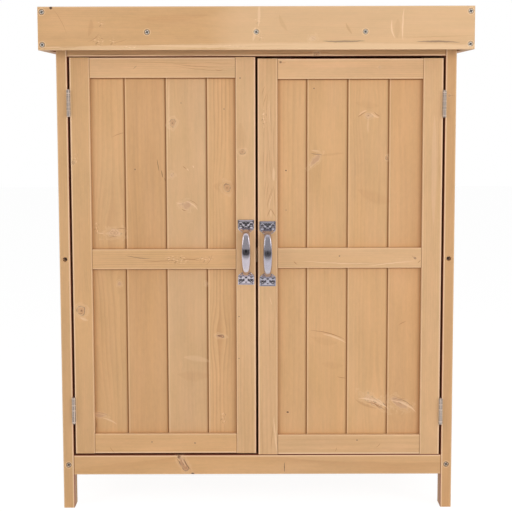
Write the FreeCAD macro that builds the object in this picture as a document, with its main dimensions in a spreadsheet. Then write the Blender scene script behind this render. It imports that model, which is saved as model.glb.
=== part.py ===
import FreeCAD, Part
import math
import os
import re
import Sketcher

# A garden storage cabinet in softwood: two framed and boarded doors between
# framed sides, a shelf inside, and a felted roof that falls to the rear behind
# a deep front board. Millimetres, Z up. The origin is on the ground, under the
# middle of the roof. The front faces -Y, and left is -X.

TOUCH = 0.001  # points closer than this are the same point
KNUCKLES = 5  # of one hinge
LEAF_SCREWS = 3  # of one hinge leaf
HANDLE_STATIONS = 13  # sections of the grip
ARCH_REACH = 1.25  # above 1, the grip bows more in its middle than an ellipse
FLARE_POWER = 6  # the higher, the shorter the flare at a foot
NECK_SHARE = 0.9  # where the necks of the grip lie, as a share of its half height
AXES = {
    "x": FreeCAD.Vector(1, 0, 0),
    "y": FreeCAD.Vector(0, 1, 0),
    "z": FreeCAD.Vector(0, 0, 1),
}
SIDES = {
    "front": lambda point, box: point.y < box.YMin + TOUCH,
    "rear": lambda point, box: point.y > box.YMax - TOUCH,
    "left": lambda point, box: point.x < box.XMin + TOUCH,
    "any": lambda point, box: True,
}
POINTING = {
    "+x": ((0, 1, 0), 90),
    "-x": ((0, 1, 0), -90),
    "+y": ((1, 0, 0), -90),
    "-y": ((1, 0, 0), 90),
}

# Driving sizes: name, value in millimetres, and what it measures
SIZES = (
    ("roof_width", 740, "across the roof boards"),
    ("roof_depth", 430, "front board to the felt behind"),
    ("total_height", 880, "ground to the top of the front board"),
    ("side_overhang", 25, "roof beyond the body, each side"),
    ("front_overhang", 34, "roof beyond the posts in front"),
    ("rear_gap", 2, "rear posts to the rear board of the roof"),
    ("roof_rise", 61, "side frames to the top of the front board"),
    ("frame_thickness", 19, "all framing timber, and so the doors"),
    ("post_depth", 38, "posts, front to back"),
    ("rail_height", 35, "side, rear and bottom rails"),
    ("top_rail_height", 22, "rail above the doors"),
    ("leg_height", 60.5, "ground to the bottom rails"),
    ("middle_height", 446, "ground to the centre of the side middle rails"),
    ("arris_radius", 1.2, "rounded edges of the timber"),
    ("panel_thickness", 10, "tongued and grooved boards"),
    ("rebate_depth", 8, "how far boards and tongues run into a frame"),
    ("board_pitch", 71.2, "cover of one board"),
    ("board_play", 0.3, "gap left at each board joint"),
    ("tongue_length", 5, "tongue of a board"),
    ("tongue_thickness", 3.4, "tongue of a board"),
    ("vee_depth", 1.4, "chamfer along the face edges of a board"),
    ("door_side_gap", 3.3, "post to door, filled by the hinge leaves"),
    ("door_centre_gap", 3.3, "door to door"),
    ("door_top_gap", 1.2, "left door to the top rail"),
    ("door_bottom_gap", 3.6, "left door to the bottom rail"),
    ("right_door_drop", 2.6, "how much lower the right door hangs"),
    ("right_middle_rise", 1.4, "how much higher the right door's middle rail sits"),
    ("stile_width", 34.5, "upright of a door"),
    ("door_rail_height", 35, "cross rails of a door"),
    ("door_middle_height", 446, "ground to the centre of the left door's middle rail"),
    ("latch_board_width", 51.1, "board beside a door's free stile, as it shows"),
    ("hinge_length", 45, "barrel and leaves"),
    ("hinge_inset", 78, "door end to hinge centre"),
    ("hinge_reach", 3, "hinge pin ahead of the door face"),
    ("leaf_thickness", 1.2, "hinge leaf"),
    ("leaf_depth", 17, "hinge leaf behind the door face"),
    ("knuckle_radius", 3.2, "hinge barrel"),
    ("knuckle_play", 0.3, "gap between knuckles"),
    ("hinge_pin_radius", 1.6, "hinge pin"),
    ("hinge_pin_play", 0.05, "pin to bore, on the radius"),
    ("pin_head_radius", 2.6, "ends of the hinge pin"),
    ("pin_head_height", 1.2, "ends of the hinge pin"),
    ("handle_height", 115, "over both feet"),
    ("handle_centre", 458, "ground to the middle of the left handle"),
    ("handle_reach", 30, "door face to the front of the grip"),
    ("foot_width", 29, "handle foot"),
    ("foot_height", 23, "handle foot"),
    ("foot_cut_width", 7.5, "corners cut off a foot beside the grip"),
    ("foot_cut_height", 6, "corners cut off a foot beside the grip"),
    ("foot_thickness", 3, "handle foot"),
    ("foot_corner", 1.5, "rounded corners of a handle foot"),
    ("grip_width", 15.6, "middle of the grip"),
    ("grip_thickness", 8, "middle of the grip"),
    ("neck_width", 11.4, "grip beside a foot"),
    ("neck_thickness", 6, "grip beside a foot"),
    ("flare_width", 22, "grip where it meets a foot"),
    ("flare_thickness", 8, "grip where it meets a foot"),
    ("handle_screw_spacing", 18, "the two screws of a foot"),
    ("catch_width", 46, "magnetic catch"),
    ("catch_height", 14, "magnetic catch"),
    ("catch_depth", 15, "magnetic catch"),
    ("catch_offset", 44, "middle of the front to the middle of a catch"),
    ("catch_gap", 0.3, "catch to strike plate, door shut"),
    ("strike_width", 38, "steel plate on the door"),
    ("strike_height", 11, "steel plate on the door"),
    ("strike_thickness", 1.2, "steel plate on the door"),
    ("cleat_width", 16, "battens under the shelf"),
    ("floor_cleat_width", 19, "battens under the floor"),
    ("shelf_setback", 5, "back of the doors to the shelf"),
    ("floor_setback", 1, "back of the doors to the floor"),
    ("fascia_height", 73, "front board of the roof"),
    ("roof_board_thickness", 16, "boards round the roof"),
    ("roof_fall", 22, "drop of the roof, front to rear"),
    ("trim_rise", 2, "roof boards above the felt"),
    ("deck_thickness", 10, "boards under the felt"),
    ("felt_thickness", 2, "mineral felt"),
    ("felt_lap", 22, "felt turned down behind"),
    ("bearer_thickness", 19, "battens that carry the deck"),
    ("roof_play", 0.3, "deck and felt inside the roof boards"),
    ("screw_head_radius", 3.9, "countersunk wood screw"),
    ("screw_head_height", 2.2, "countersunk wood screw"),
    ("screw_radius", 2, "shank of a wood screw"),
    ("screw_play", 0.1, "screw in its hole, on the radius"),
    ("fascia_screw_length", 38, "screws through the front board"),
    ("frame_screw_length", 58, "screws through the posts"),
    ("rear_screw_inset", 6.5, "outer face of a rear post to its frame screws"),
    ("counterbore_depth", 9, "deep holes of the middle frame screws"),
    ("corner_screw_inset", 7, "front board's end to its corner screws"),
    ("corner_screw_edge", 9, "front board's edges to its corner screws"),
    ("bearer_screw_height", 18, "screw above the underside of a bearer"),
    ("small_screw_head", 2.6, "radius of a handle or hinge screw head"),
    ("small_screw_radius", 1.3, "shank of a handle or hinge screw"),
    ("small_screw_length", 11, "handle and hinge screws"),
    ("small_head_height", 1.1, "handle and hinge screw heads"),
)

# Places worked out from the driving sizes
PLACES = (
    ("roof_half", "roof_width / 2"),
    ("roof_front", "-roof_depth / 2"),
    ("roof_back", "roof_depth / 2"),
    ("body_half", "roof_half - side_overhang"),
    ("body_height", "total_height - roof_rise"),
    ("opening_half", "body_half - frame_thickness"),
    ("body_front", "roof_front + front_overhang"),
    ("board_back", "roof_back - felt_thickness"),
    ("rear_board_front", "board_back - roof_board_thickness"),
    ("body_back", "rear_board_front - rear_gap"),
    ("door_back", "body_front + frame_thickness"),
    ("panel_recess", "frame_thickness - panel_thickness"),
    ("side_run", "body_back - body_front - 2 * post_depth"),
    ("side_start", "body_front + post_depth"),
    ("seat", "rebate_depth - board_play"),
    ("bottom_rail_top", "leg_height + rail_height"),
    ("middle_rail_low", "middle_height - rail_height / 2"),
    ("top_side_rail_low", "body_height - rail_height"),
    ("back_inside", "body_back - frame_thickness"),
    ("door_low", "bottom_rail_top + door_bottom_gap"),
    ("door_high", "body_height - top_rail_height - door_top_gap"),
    ("door_tall", "door_high - door_low"),
    ("door_hinge_edge", "opening_half - door_side_gap"),
    ("door_free_edge", "door_centre_gap / 2"),
    ("door_wide", "door_hinge_edge - door_free_edge"),
    ("door_clear", "door_wide - 2 * stile_width"),
    ("door_middle_low", "door_middle_height - door_rail_height / 2"),
    ("hinge_board_width", "door_clear - latch_board_width - 2 * board_pitch"),
    ("hinge_line", "door_hinge_edge + door_side_gap / 2"),
    ("hinge_front", "body_front - hinge_reach"),
    ("knuckle_pitch", "hinge_length / " + str(KNUCKLES)),
    ("bore_radius", "hinge_pin_radius + hinge_pin_play"),
    ("handle_line", "door_free_edge + stile_width / 2"),
    ("foot_centre", "handle_height / 2 - foot_height / 2"),
    ("grip_root", "body_front - foot_thickness / 2"),
    ("foot_screw_rise", "foot_centre + foot_cut_height / 2"),
    ("grip_half", "handle_height / 2 - foot_height + flare_thickness / 2 + 1"),
    ("grip_reach", "handle_reach - foot_thickness / 2 - grip_thickness / 2"),
    ("fascia_low", "total_height - fascia_height"),
    ("fascia_back", "roof_front + roof_board_thickness"),
    ("roof_inner_half", "roof_half - roof_board_thickness"),
    ("trim_front_top", "total_height - roof_fall * roof_board_thickness / roof_depth"),
    ("trim_back_top", "total_height - roof_fall * (board_back - roof_front) / roof_depth"),
    ("deck_drop", "trim_rise + felt_thickness + deck_thickness"),
    ("trim_run", "board_back - fascia_back"),
    ("felt_fall", "roof_fall * trim_run / roof_depth"),
    ("bearer_run", "rear_board_front - fascia_back"),
    ("bearer_front_height", "trim_front_top - deck_drop - body_height"),
    ("bearer_back_height", "bearer_front_height - roof_fall * bearer_run / roof_depth"),
    ("shelf_low", "middle_height + cleat_width / 2"),
    ("shelf_front", "door_back + shelf_setback"),
    ("shelf_run", "back_inside - shelf_front - board_play"),
    ("floor_low", "bottom_rail_top - panel_thickness"),
    ("floor_front", "door_back + floor_setback"),
    ("floor_run", "back_inside - floor_front - board_play"),
    ("inside_wide", "2 * (opening_half - board_play)"),
)

doc = FreeCAD.newDocument("garden_cabinet")
sheet_of = {}
nodes = {}


def linked(formula):
    """The formula, with every named size pointed at its cell."""
    return re.sub(r"[a-z_]+", lambda word: sheet_of.get(word.group(), word.group()), formula)


def fill_sheet(name, rows):
    """A sheet with one named cell a row: its name, its content and a remark."""
    sheet = doc.addObject("Spreadsheet::Sheet", name)
    for row, (alias, content, remark) in enumerate(rows, start=1):
        sheet.set("A" + str(row), alias)
        sheet.set("B" + str(row), content)
        sheet.set("C" + str(row), remark)
        sheet.setAlias("B" + str(row), alias)
        sheet_of[alias] = name + "." + alias
    return sheet


def bind(item, formulas):
    """Ties each property of the item to its formula."""
    for name, formula in formulas.items():
        item.setExpression(name, linked(formula))


def move(item, corner):
    """Ties the item's place to three formulas, for x, y and z."""
    for axis, formula in zip("xyz", corner):
        if formula != "0":
            item.setExpression("Placement.Base." + axis, linked(formula))


def turn(item, axis, degrees):
    """Turns the item about a line through its own origin."""
    item.Placement.Rotation = FreeCAD.Rotation(FreeCAD.Vector(*axis), degrees)


def keep(label, item):
    """Names the finished sub-part, which becomes the file of that name."""
    item.Label = label
    nodes[label] = item
    return item


def sized(item, size, corner):
    """Gives a box its three sizes and the place of its low corner."""
    bind(item, dict(zip(("Length", "Width", "Height"), size)))
    move(item, corner)
    return item


def edges_at(shape, axis, side):
    """Names of the straight edges along the axis that lie on the named side."""
    names = []
    box = shape.BoundBox
    for index, edge in enumerate(shape.Edges, start=1):
        ends = [vertex.Point for vertex in edge.Vertexes]
        if len(ends) != 2:
            continue
        run = ends[1] - ends[0]
        straight = abs(abs(run.dot(AXES[axis])) - edge.Length) < TOUCH
        if straight and all(SIDES[side](point, box) for point in ends):
            names.append("Edge" + str(index))
    return names


def squared(label, size, corner, cuts=(), rounded=None, radius="arris_radius"):
    """A squared piece: a blank, its rebates, and its rounded edges.

    cuts holds pairs of size and low corner, measured from the blank's own low
    corner. rounded holds the axis and the side of the edges that are eased.
    """
    body = doc.addObject("PartDesign::Body", label)
    blank = body.newObject("PartDesign::AdditiveBox", label + "_blank")
    sized(blank, size, ("0", "0", "0"))
    last = blank
    for number, (cut_size, cut_corner) in enumerate(cuts, start=1):
        last = body.newObject("PartDesign::SubtractiveBox", label + "_cut" + str(number))
        sized(last, cut_size, cut_corner)
    if rounded:
        doc.recompute()
        eased = body.newObject("PartDesign::Fillet", label + "_arris")
        eased.Base = (last, edges_at(body.Shape, *rounded))
        bind(eased, {"Radius": radius})
    move(body, corner)
    return body


def timber(label, size, corner, cuts=(), rounded=None):
    """A squared piece that is a sub-part of its own."""
    return keep(label, squared(label, size, corner, cuts, rounded))


def outline(body, label, plane, points):
    """A closed outline of straight lines on one of the body's own planes."""
    sketch = body.newObject("Sketcher::SketchObject", label)
    origin = [item for item in body.Origin.OriginFeatures if item.Role == plane]
    sketch.AttachmentSupport = [(origin[0], "")]
    sketch.MapMode = "FlatFace"
    count = len(points)
    start = [
        FreeCAD.Vector(math.cos(math.tau * step / count), math.sin(math.tau * step / count), 0)
        for step in range(count + 1)
    ]
    for step in range(count):
        sketch.addGeometry(Part.LineSegment(start[step], start[step + 1]), False)
    for step in range(count):
        sketch.addConstraint(Sketcher.Constraint("Coincident", step, 2, (step + 1) % count, 1))
    for step, (across, up) in enumerate(points):
        pin_point(sketch, step, "DistanceX", across, -2)
        pin_point(sketch, step, "DistanceY", up, -1)
    return sketch


def pin_point(sketch, line, kind, formula, axis):
    """Holds a line's first point on an axis, or at a distance from the origin."""
    if formula == "0":
        sketch.addConstraint(Sketcher.Constraint("PointOnObject", line, 1, axis))
        return
    index = sketch.addConstraint(Sketcher.Constraint(kind, -1, 1, line, 1, 1.0))
    sketch.setExpression("Constraints[" + str(index) + "]", linked(formula))


def prism(label, plane, points, length, corner):
    """An outline pushed out along the plane's positive axis."""
    body = doc.addObject("PartDesign::Body", label)
    pad = body.newObject("PartDesign::Pad", label + "_pad")
    pad.Profile = outline(body, label + "_outline", plane, points)
    pad.Reversed = plane == "XZ_Plane"
    bind(pad, {"Length": length})
    move(body, corner)
    return body


def board_outline(width, first, last):
    """Half of a board's edge joints each side: across the board, then inwards.

    The face is at zero depth. A first board is square on its low side, a last
    board on its high side, and every other edge has a groove or a tongue.
    """
    near = "(panel_thickness - tongue_thickness) / 2"
    far = "(panel_thickness + tongue_thickness) / 2"
    back = "panel_thickness"
    if first:
        low = [("0", back), ("0", "0")]
    else:
        groove = "2 * board_play + tongue_length"
        low = [
            ("board_play", back),
            ("board_play", far + " + board_play"),
            (groove, far + " + board_play"),
            (groove, near + " - board_play"),
            ("board_play", near + " - board_play"),
            ("board_play", "vee_depth"),
            ("board_play + vee_depth", "0"),
        ]
    if last:
        high = [(width, "0"), (width, back)]
    else:
        high = [
            (width + " - vee_depth", "0"),
            (width, "vee_depth"),
            (width, near),
            (width + " + tongue_length", near),
            (width + " + tongue_length", far),
            (width, far),
            (width, back),
        ]
    return low + high


def from_back(deep):
    """A depth below the face, as a distance from the back."""
    if deep == "panel_thickness":
        return "0"
    return "panel_thickness - (" + deep + ")"


def boards(label, widths, length, corner, plane, face_high=False, swapped=False):
    """Tongued and grooved boards side by side, loose in each other's grooves.

    face_high turns the chamfered face to the high side of the thickness.
    swapped lays the thickness, not the width, along the plane's first axis.
    """
    made = []
    start = ""
    step_axis = 1 if plane == "YZ_Plane" or swapped else 0
    for number, width in enumerate(widths):
        points = board_outline(width, number == 0, number == len(widths) - 1)
        if face_high:
            points = [(across, from_back(deep)) for across, deep in points]
        if swapped:
            points = [(deep, across) for across, deep in points]
        place = list(corner)
        place[step_axis] = corner[step_axis] + start
        made.append(prism(label + "_board" + str(number + 1), plane, points, length, place))
        start += " + " + width
    return made


def panel(label, *choices, **options):
    """Boards that make one sub-part."""
    return keep(label, grouped(label, boards(label, *choices, **options)))


def trimmed_widths(run):
    """Widths of whole boards between two equal trimmed ones that fill the run."""
    doc.recompute()
    whole = int(places.evalExpression(linked("(" + run + ") / board_pitch"))) - 1
    end = "((" + run + ") - " + str(whole) + " * board_pitch) / 2"
    return [end] + ["board_pitch"] * whole + [end]


def reflection(name, source, rise="0"):
    """The same shape on the other side of the middle plane, raised by rise."""
    other = doc.addObject("Part::Mirroring", name)
    other.Source = source
    other.Normal = (1, 0, 0)
    move(other, ("0", "0", rise))
    return other


def mirrored(left_label, rise="0"):
    """The right-hand piece that matches a left-hand one."""
    label = left_label.replace("left", "right")
    return keep(label, reflection(label, nodes[left_label], rise))


def tube(label, radius, height, corner, axis="+z"):
    """A round bar from its corner along the named direction."""
    bar = doc.addObject("Part::Cylinder", label)
    bind(bar, {"Radius": radius, "Height": height})
    point_along(bar, axis)
    move(bar, corner)
    return bar


def point_along(item, axis):
    """Turns an item that points up z to point along the named direction."""
    if axis in POINTING:
        turn(item, *POINTING[axis])


def joined(label, shapes):
    """Several overlapping shapes as one."""
    whole = doc.addObject("Part::MultiFuse", label)
    whole.Shapes = shapes
    whole.Refine = True
    return whole


def countersunk(label, corner, axis, head, shank, head_height, length, play):
    """A flat-headed screw from its head's face inwards, or the hole for one."""
    cone = doc.addObject("Part::Cone", label + "_head")
    bind(cone, {
        "Radius1": head + " + " + play,
        "Radius2": shank + " + " + play,
        "Height": head_height,
    })
    point_along(cone, axis)
    move(cone, corner)
    bar = tube(label + "_shank", shank + " + " + play, length + " + " + play, corner, axis)
    return joined(label, [cone, bar])


def frame_screw(label, corner, axis, length, play="0"):
    """A wood screw of the frame or the roof."""
    return countersunk(
        label, corner, axis, "screw_head_radius", "screw_radius", "screw_head_height", length, play
    )


def small_screw(label, corner, axis, play="0"):
    """A screw of a handle or a hinge."""
    return countersunk(
        label, corner, axis, "small_screw_head", "small_screw_radius", "small_head_height",
        "small_screw_length", play
    )


def grouped(label, items):
    """Like pieces that share one sub-part."""
    group = doc.addObject("Part::Compound", label)
    group.Links = items
    return group


def drilled(piece, holes):
    """The piece with the holes taken out. It takes over the piece's name."""
    label = piece.Label
    piece.Label = label + "_undrilled"
    cut = doc.addObject("Part::Cut", label + "_drilled")
    cut.Base = piece
    cut.Tool = grouped(label + "_holes", holes) if len(holes) > 1 else holes[0]
    return keep(label, cut)


# Posts and side frames

def front_post():
    """The left front post. Its inner rear corner is rebated for the side boards."""
    return timber(
        "front_left_post",
        ("frame_thickness", "post_depth", "body_height"),
        ("-body_half", "body_front", "0"),
        cuts=[(
            ("panel_thickness", "rebate_depth", "body_height - leg_height"),
            ("panel_recess", "post_depth - rebate_depth", "leg_height"),
        )],
        rounded=("z", "front"),
    )


def rear_post():
    """The left rear post: a rebate for the side boards, a groove for the back."""
    return timber(
        "rear_left_post",
        ("frame_thickness", "post_depth", "body_height"),
        ("-body_half", "body_back - post_depth", "0"),
        cuts=[
            (
                ("panel_thickness", "rebate_depth", "body_height - leg_height"),
                ("panel_recess", "0", "leg_height"),
            ),
            (
                ("rebate_depth", "panel_thickness", "body_height - leg_height"),
                ("frame_thickness - rebate_depth", "post_depth - frame_thickness", "leg_height"),
            ),
        ],
        rounded=("z", "rear"),
    )


def side_rail(label, low, rebates):
    """A rail between the left posts, with a tongue at each end in their rebates."""
    shoulder = ("panel_recess", "rebate_depth", "rail_height")
    cuts = [
        (shoulder, ("0", "0", "0")),
        (shoulder, ("0", "side_run + rebate_depth", "0")),
    ]
    length = "side_run + 2 * rebate_depth"
    board_seat = ("panel_thickness", length, "rebate_depth")
    for height in rebates:
        cuts.append((board_seat, ("panel_recess", "0", height)))
    return timber(
        label,
        ("frame_thickness", length, "rail_height"),
        ("-body_half", "side_start - rebate_depth", low),
        cuts=cuts,
        rounded=("y", "left"),
    )


def side_boards():
    """Upright boards in the left side frame, above and below its middle rail."""
    tiers = {
        "upper": ("middle_rail_low + rail_height", "top_side_rail_low"),
        "lower": ("bottom_rail_top", "middle_rail_low"),
    }
    made = []
    for tier, (low, high) in tiers.items():
        made += boards(
            "left_side_" + tier,
            trimmed_widths("side_run + 2 * seat"),
            high + " - (" + low + ") + 2 * seat",
            ("-body_half + panel_recess", "side_start - seat", low + " - seat"),
            "XY_Plane",
            swapped=True,
        )
    return keep("left_side_boards", grouped("left_side_boards", made))


def side_frames():
    """The left side, and the right side as its mirror image."""
    high_rebate = "rail_height - rebate_depth"
    pieces = [
        front_post(),
        rear_post(),
        side_rail("left_middle_rail", "middle_rail_low", ["0", high_rebate]),
        side_rail("left_bottom_rail", "leg_height", [high_rebate]),
        side_rail("left_top_rail", "top_side_rail_low", ["0"]),
        side_boards(),
    ]
    labels = [piece.Label for piece in pieces]
    screws = frame_screws(*pieces[:4])
    for label in labels:
        mirrored(label)
    keep("frame_screws", grouped("frame_screws", screws + [
        reflection(screw.Name + "_right", screw) for screw in screws
    ]))


def frame_screws(front, rear, middle, bottom):
    """Long screws hold the side rails between the posts, the middle ones deep."""
    bore = "screw_head_radius + screw_play"
    screws = []
    rail_holes = {"middle": [], "bottom": []}
    for place, post, axis, inset, face, sunk in (
        ("front_", front, "+y", "frame_thickness / 2", "body_front",
         "body_front + counterbore_depth"),
        ("rear_", rear, "-y", "rear_screw_inset", "body_back", "body_back - counterbore_depth"),
    ):
        line = "-body_half + " + inset
        heads = {
            "middle": (line, sunk, "middle_height"),
            "bottom": (line, face, "leg_height + rail_height / 2"),
        }
        sink = tube(place + "sink", bore, "counterbore_depth", (line, face, "middle_height"), axis)
        post_holes = [sink]
        for name, head in heads.items():
            label = place + name + "_screw"
            screws.append(frame_screw(label, head, axis, "frame_screw_length"))
            hole = frame_screw(label + "_hole", head, axis, "frame_screw_length", "screw_play")
            post_holes.append(hole)
            rail_holes[name].append(hole)
        drilled(post, [joined(place + "post_holes", post_holes)])
    drilled(middle, rail_holes["middle"])
    drilled(bottom, rail_holes["bottom"])
    return screws


# Rails, boards, floor and shelf between the sides

def front_rails():
    """The rail over the doors lies flat. The one under them stands on edge."""
    timber(
        "front_top_rail",
        ("2 * opening_half", "post_depth", "top_rail_height"),
        ("-opening_half", "body_front", "body_height - top_rail_height"),
        rounded=("x", "front"),
    )
    timber(
        "front_bottom_rail",
        ("2 * opening_half", "frame_thickness", "rail_height"),
        ("-opening_half", "body_front", "leg_height"),
        rounded=("x", "front"),
    )


def rear_rail(label, low, board_seat):
    """A rail between the rear posts, with tongues in their grooves."""
    shoulder = ("rebate_depth", "panel_recess", "rail_height")
    length = "2 * (opening_half + rebate_depth)"
    return timber(
        label,
        (length, "frame_thickness", "rail_height"),
        ("-opening_half - rebate_depth", "back_inside", low),
        cuts=[
            (shoulder, ("0", "panel_thickness", "0")),
            (shoulder, ("2 * opening_half + rebate_depth", "panel_thickness", "0")),
            ((length, "panel_thickness", "rebate_depth"), ("0", "0", board_seat)),
        ],
        rounded=("x", "rear"),
    )


def back():
    """Rear rails, a thin middle rail, and boards from the bottom rail to the top."""
    rear_rail("rear_top_rail", "top_side_rail_low", "0")
    rear_rail("rear_bottom_rail", "leg_height", "rail_height - rebate_depth")
    timber(
        "rear_middle_rail",
        ("2 * opening_half", "panel_recess", "rail_height"),
        ("-opening_half", "back_inside + panel_thickness", "middle_rail_low"),
    )
    panel(
        "back_boards",
        trimmed_widths("2 * (opening_half + seat)"),
        "top_side_rail_low - bottom_rail_top + 2 * seat",
        ("-opening_half - seat", "back_inside", "bottom_rail_top - seat"),
        "XY_Plane",
        face_high=True,
    )


def floor():
    """Boards from front to back, on a cleat behind each bottom rail."""
    cleat = ("2 * opening_half", "floor_cleat_width", "floor_cleat_width")
    low = "floor_low - floor_cleat_width"
    timber("front_floor_cleat", cleat, ("-opening_half", "door_back", low))
    timber("rear_floor_cleat", cleat, ("-opening_half", "back_inside - floor_cleat_width", low))
    panel(
        "floor_boards",
        trimmed_widths("inside_wide"),
        "floor_run",
        ("-inside_wide / 2", "floor_front", "floor_low"),
        "XZ_Plane",
        face_high=True,
    )


def shelf():
    """Boards from side to side, on a cleat at each side and a batten between."""
    low = "middle_height - cleat_width / 2"
    left = squared(
        "left_shelf_cleat",
        ("cleat_width", "shelf_run", "cleat_width"),
        ("-opening_half", "shelf_front", low),
    )
    both = [left, reflection("right_shelf_cleat", left)]
    keep("shelf_cleats", grouped("shelf_cleats", both))
    timber(
        "shelf_batten",
        ("cleat_width", "shelf_run", "cleat_width"),
        ("-cleat_width / 2", "shelf_front", low),
    )
    panel(
        "shelf_boards",
        trimmed_widths("shelf_run"),
        "inside_wide",
        ("-inside_wide / 2", "shelf_front", "shelf_low"),
        "YZ_Plane",
        face_high=True,
    )


# Roof

def roof_boards():
    """The deep front board, the sides that fall with the roof, and the rear board."""
    timber(
        "roof_front_board",
        ("roof_width", "roof_board_thickness", "fascia_height"),
        ("-roof_half", "roof_front", "fascia_low"),
        rounded=("x", "front"),
    )
    for label, line in (("roof_left_board", "-roof_half"), ("roof_right_board", "roof_inner_half")):
        side = prism(
            label,
            "YZ_Plane",
            [
                ("0", "0"),
                ("trim_run", "0"),
                ("trim_run", "trim_back_top - fascia_low"),
                ("0", "trim_front_top - fascia_low"),
            ],
            "roof_board_thickness",
            (line, "fascia_back", "fascia_low"),
        )
        keep(label, side)
    rear_fall = "roof_fall * roof_board_thickness / roof_depth"
    rear = prism(
        "roof_rear_board",
        "YZ_Plane",
        [
            ("0", "0"),
            ("roof_board_thickness", "0"),
            ("roof_board_thickness", "body_height + bearer_back_height - fascia_low - " + rear_fall),
            ("0", "body_height + bearer_back_height - fascia_low"),
        ],
        "2 * roof_inner_half",
        ("-roof_inner_half", "rear_board_front", "fascia_low"),
    )
    keep("roof_rear_board", rear)


def roof_bearers():
    """Tapered battens from the front board to the rear board, under the deck.

    Three stand at the quarters of the roof. One lies inside each side board.
    """
    lines = {
        "roof_bearers": [
            "-roof_width / 4 - bearer_thickness / 2",
            "-bearer_thickness / 2",
            "roof_width / 4 - bearer_thickness / 2",
        ],
        "roof_end_bearers": ["-roof_inner_half", "roof_inner_half - bearer_thickness"],
    }
    taper = [
        ("0", "0"),
        ("bearer_run", "0"),
        ("bearer_run", "bearer_back_height"),
        ("0", "bearer_front_height"),
    ]
    for label, starts in lines.items():
        bearers = [
            prism(label + str(number), "YZ_Plane", taper, "bearer_thickness",
                  (start, "fascia_back", "body_height"))
            for number, start in enumerate(starts, start=1)
        ]
        keep(label, grouped(label, bearers))


def deck():
    """Boards across the bearers, in the plane of the roof."""
    slope = "roof_fall / roof_depth"
    run = "(trim_run - 2 * roof_play - deck_thickness * {0}) * sqrt(1 + {0} * {0})"
    run = run.format("(" + slope + ")")
    deck_boards = panel(
        "roof_deck_boards",
        trimmed_widths(run),
        "2 * (roof_inner_half - roof_play)",
        ("0", "0", "0"),
        "YZ_Plane",
    )
    turn(deck_boards, (-1, 0, 0), 1)
    bind(deck_boards, {"Placement.Rotation.Angle": "atan(" + slope + ")"})
    move(deck_boards, (
        "-roof_inner_half + roof_play",
        "fascia_back + roof_play",
        "body_height + bearer_front_height - roof_fall * roof_play / roof_depth",
    ))


def felt():
    """Mineral felt on the deck, turned down behind it over the rear board."""
    run = "trim_run"
    cover = "felt_thickness - roof_play"
    turned = "roof_fall * (" + cover + ") / roof_depth"
    sheet = prism(
        "roof_felt",
        "YZ_Plane",
        [
            ("0", "felt_lap + felt_fall"),
            (run, "felt_lap"),
            (run, "0"),
            (run + " + " + cover, "0"),
            (run + " + " + cover, "felt_lap + felt_thickness - " + turned),
            ("0", "felt_lap + felt_fall + felt_thickness"),
        ],
        "2 * (roof_inner_half - roof_play)",
        (
            "-roof_inner_half + roof_play",
            "fascia_back + roof_play",
            "trim_front_top - trim_rise - felt_thickness - felt_fall - felt_lap",
        ),
    )
    keep("roof_felt", sheet)


def roof_screws():
    """Two screws at each end of the front board, and one into each inner bearer."""
    corner = "roof_half - corner_screw_inset"
    middle = "body_height + bearer_screw_height"
    heads = [
        ("-(" + corner + ")", "fascia_low + corner_screw_edge"),
        ("-(" + corner + ")", "total_height - corner_screw_edge"),
        (corner, "fascia_low + corner_screw_edge"),
        (corner, "total_height - corner_screw_edge"),
        ("-roof_width / 4", middle),
        ("0", middle),
        ("roof_width / 4", middle),
    ]
    behind = ["roof_left_board"] * 2 + ["roof_right_board"] * 2 + ["roof_bearers"] * 3
    screws = []
    holes = {"roof_front_board": []}
    for number, ((across, height), carrier) in enumerate(zip(heads, behind), start=1):
        head = (across, "roof_front", height)
        name = "roof_screw" + str(number)
        screws.append(frame_screw(name, head, "+y", "fascia_screw_length"))
        hole = frame_screw(name + "_hole", head, "+y", "fascia_screw_length", "screw_play")
        holes["roof_front_board"].append(hole)
        holes.setdefault(carrier, []).append(hole)
    for label, made in holes.items():
        drilled(nodes[label], made)
    keep("roof_screws", grouped("roof_screws", screws))


# Doors

def door_stile(label, low_edge, rebate_at):
    """An upright of the left door, rebated behind for the boards."""
    return timber(
        label,
        ("stile_width", "frame_thickness", "door_tall"),
        (low_edge, "body_front", "door_low"),
        cuts=[(("rebate_depth", "panel_thickness", "door_tall"), (rebate_at, "panel_recess", "0"))],
        rounded=("z", "front"),
    )


def door_end_rail(label, low, board_seat):
    """The top or bottom rail: tongues in the stiles, and a rebate for the boards."""
    shoulder = ("rebate_depth", "panel_recess", "door_rail_height")
    length = "door_clear + 2 * rebate_depth"
    return timber(
        label,
        (length, "frame_thickness", "door_rail_height"),
        ("-door_hinge_edge + stile_width - rebate_depth", "body_front", low),
        cuts=[
            (shoulder, ("0", "0", "0")),
            (shoulder, ("door_clear + rebate_depth", "0", "0")),
            ((length, "panel_thickness", "rebate_depth"), ("0", "panel_recess", board_seat)),
        ],
        rounded=("x", "front"),
    )


def door_frame():
    """Stiles, rails and boards of the left door."""
    start = "-door_hinge_edge + stile_width"
    tall = "door_tall - 2 * door_rail_height + 2 * seat"
    door_stile("left_door_hinge_stile", "-door_hinge_edge", "stile_width - rebate_depth")
    door_stile("left_door_free_stile", "-door_free_edge - stile_width", "0")
    door_end_rail("left_door_top_rail", "door_high - door_rail_height", "0")
    door_end_rail("left_door_bottom_rail", "door_low", "door_rail_height - rebate_depth")
    timber(
        "left_door_middle_rail",
        ("door_clear", "panel_recess", "door_rail_height"),
        (start, "body_front", "door_middle_low"),
        rounded=("x", "front"),
    )
    panel(
        "left_door_boards",
        ["hinge_board_width + seat", "board_pitch", "board_pitch", "latch_board_width + seat"],
        tall,
        (start + " - seat", "body_front + panel_recess", "door_low + door_rail_height - seat"),
        "XY_Plane",
    )


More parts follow.
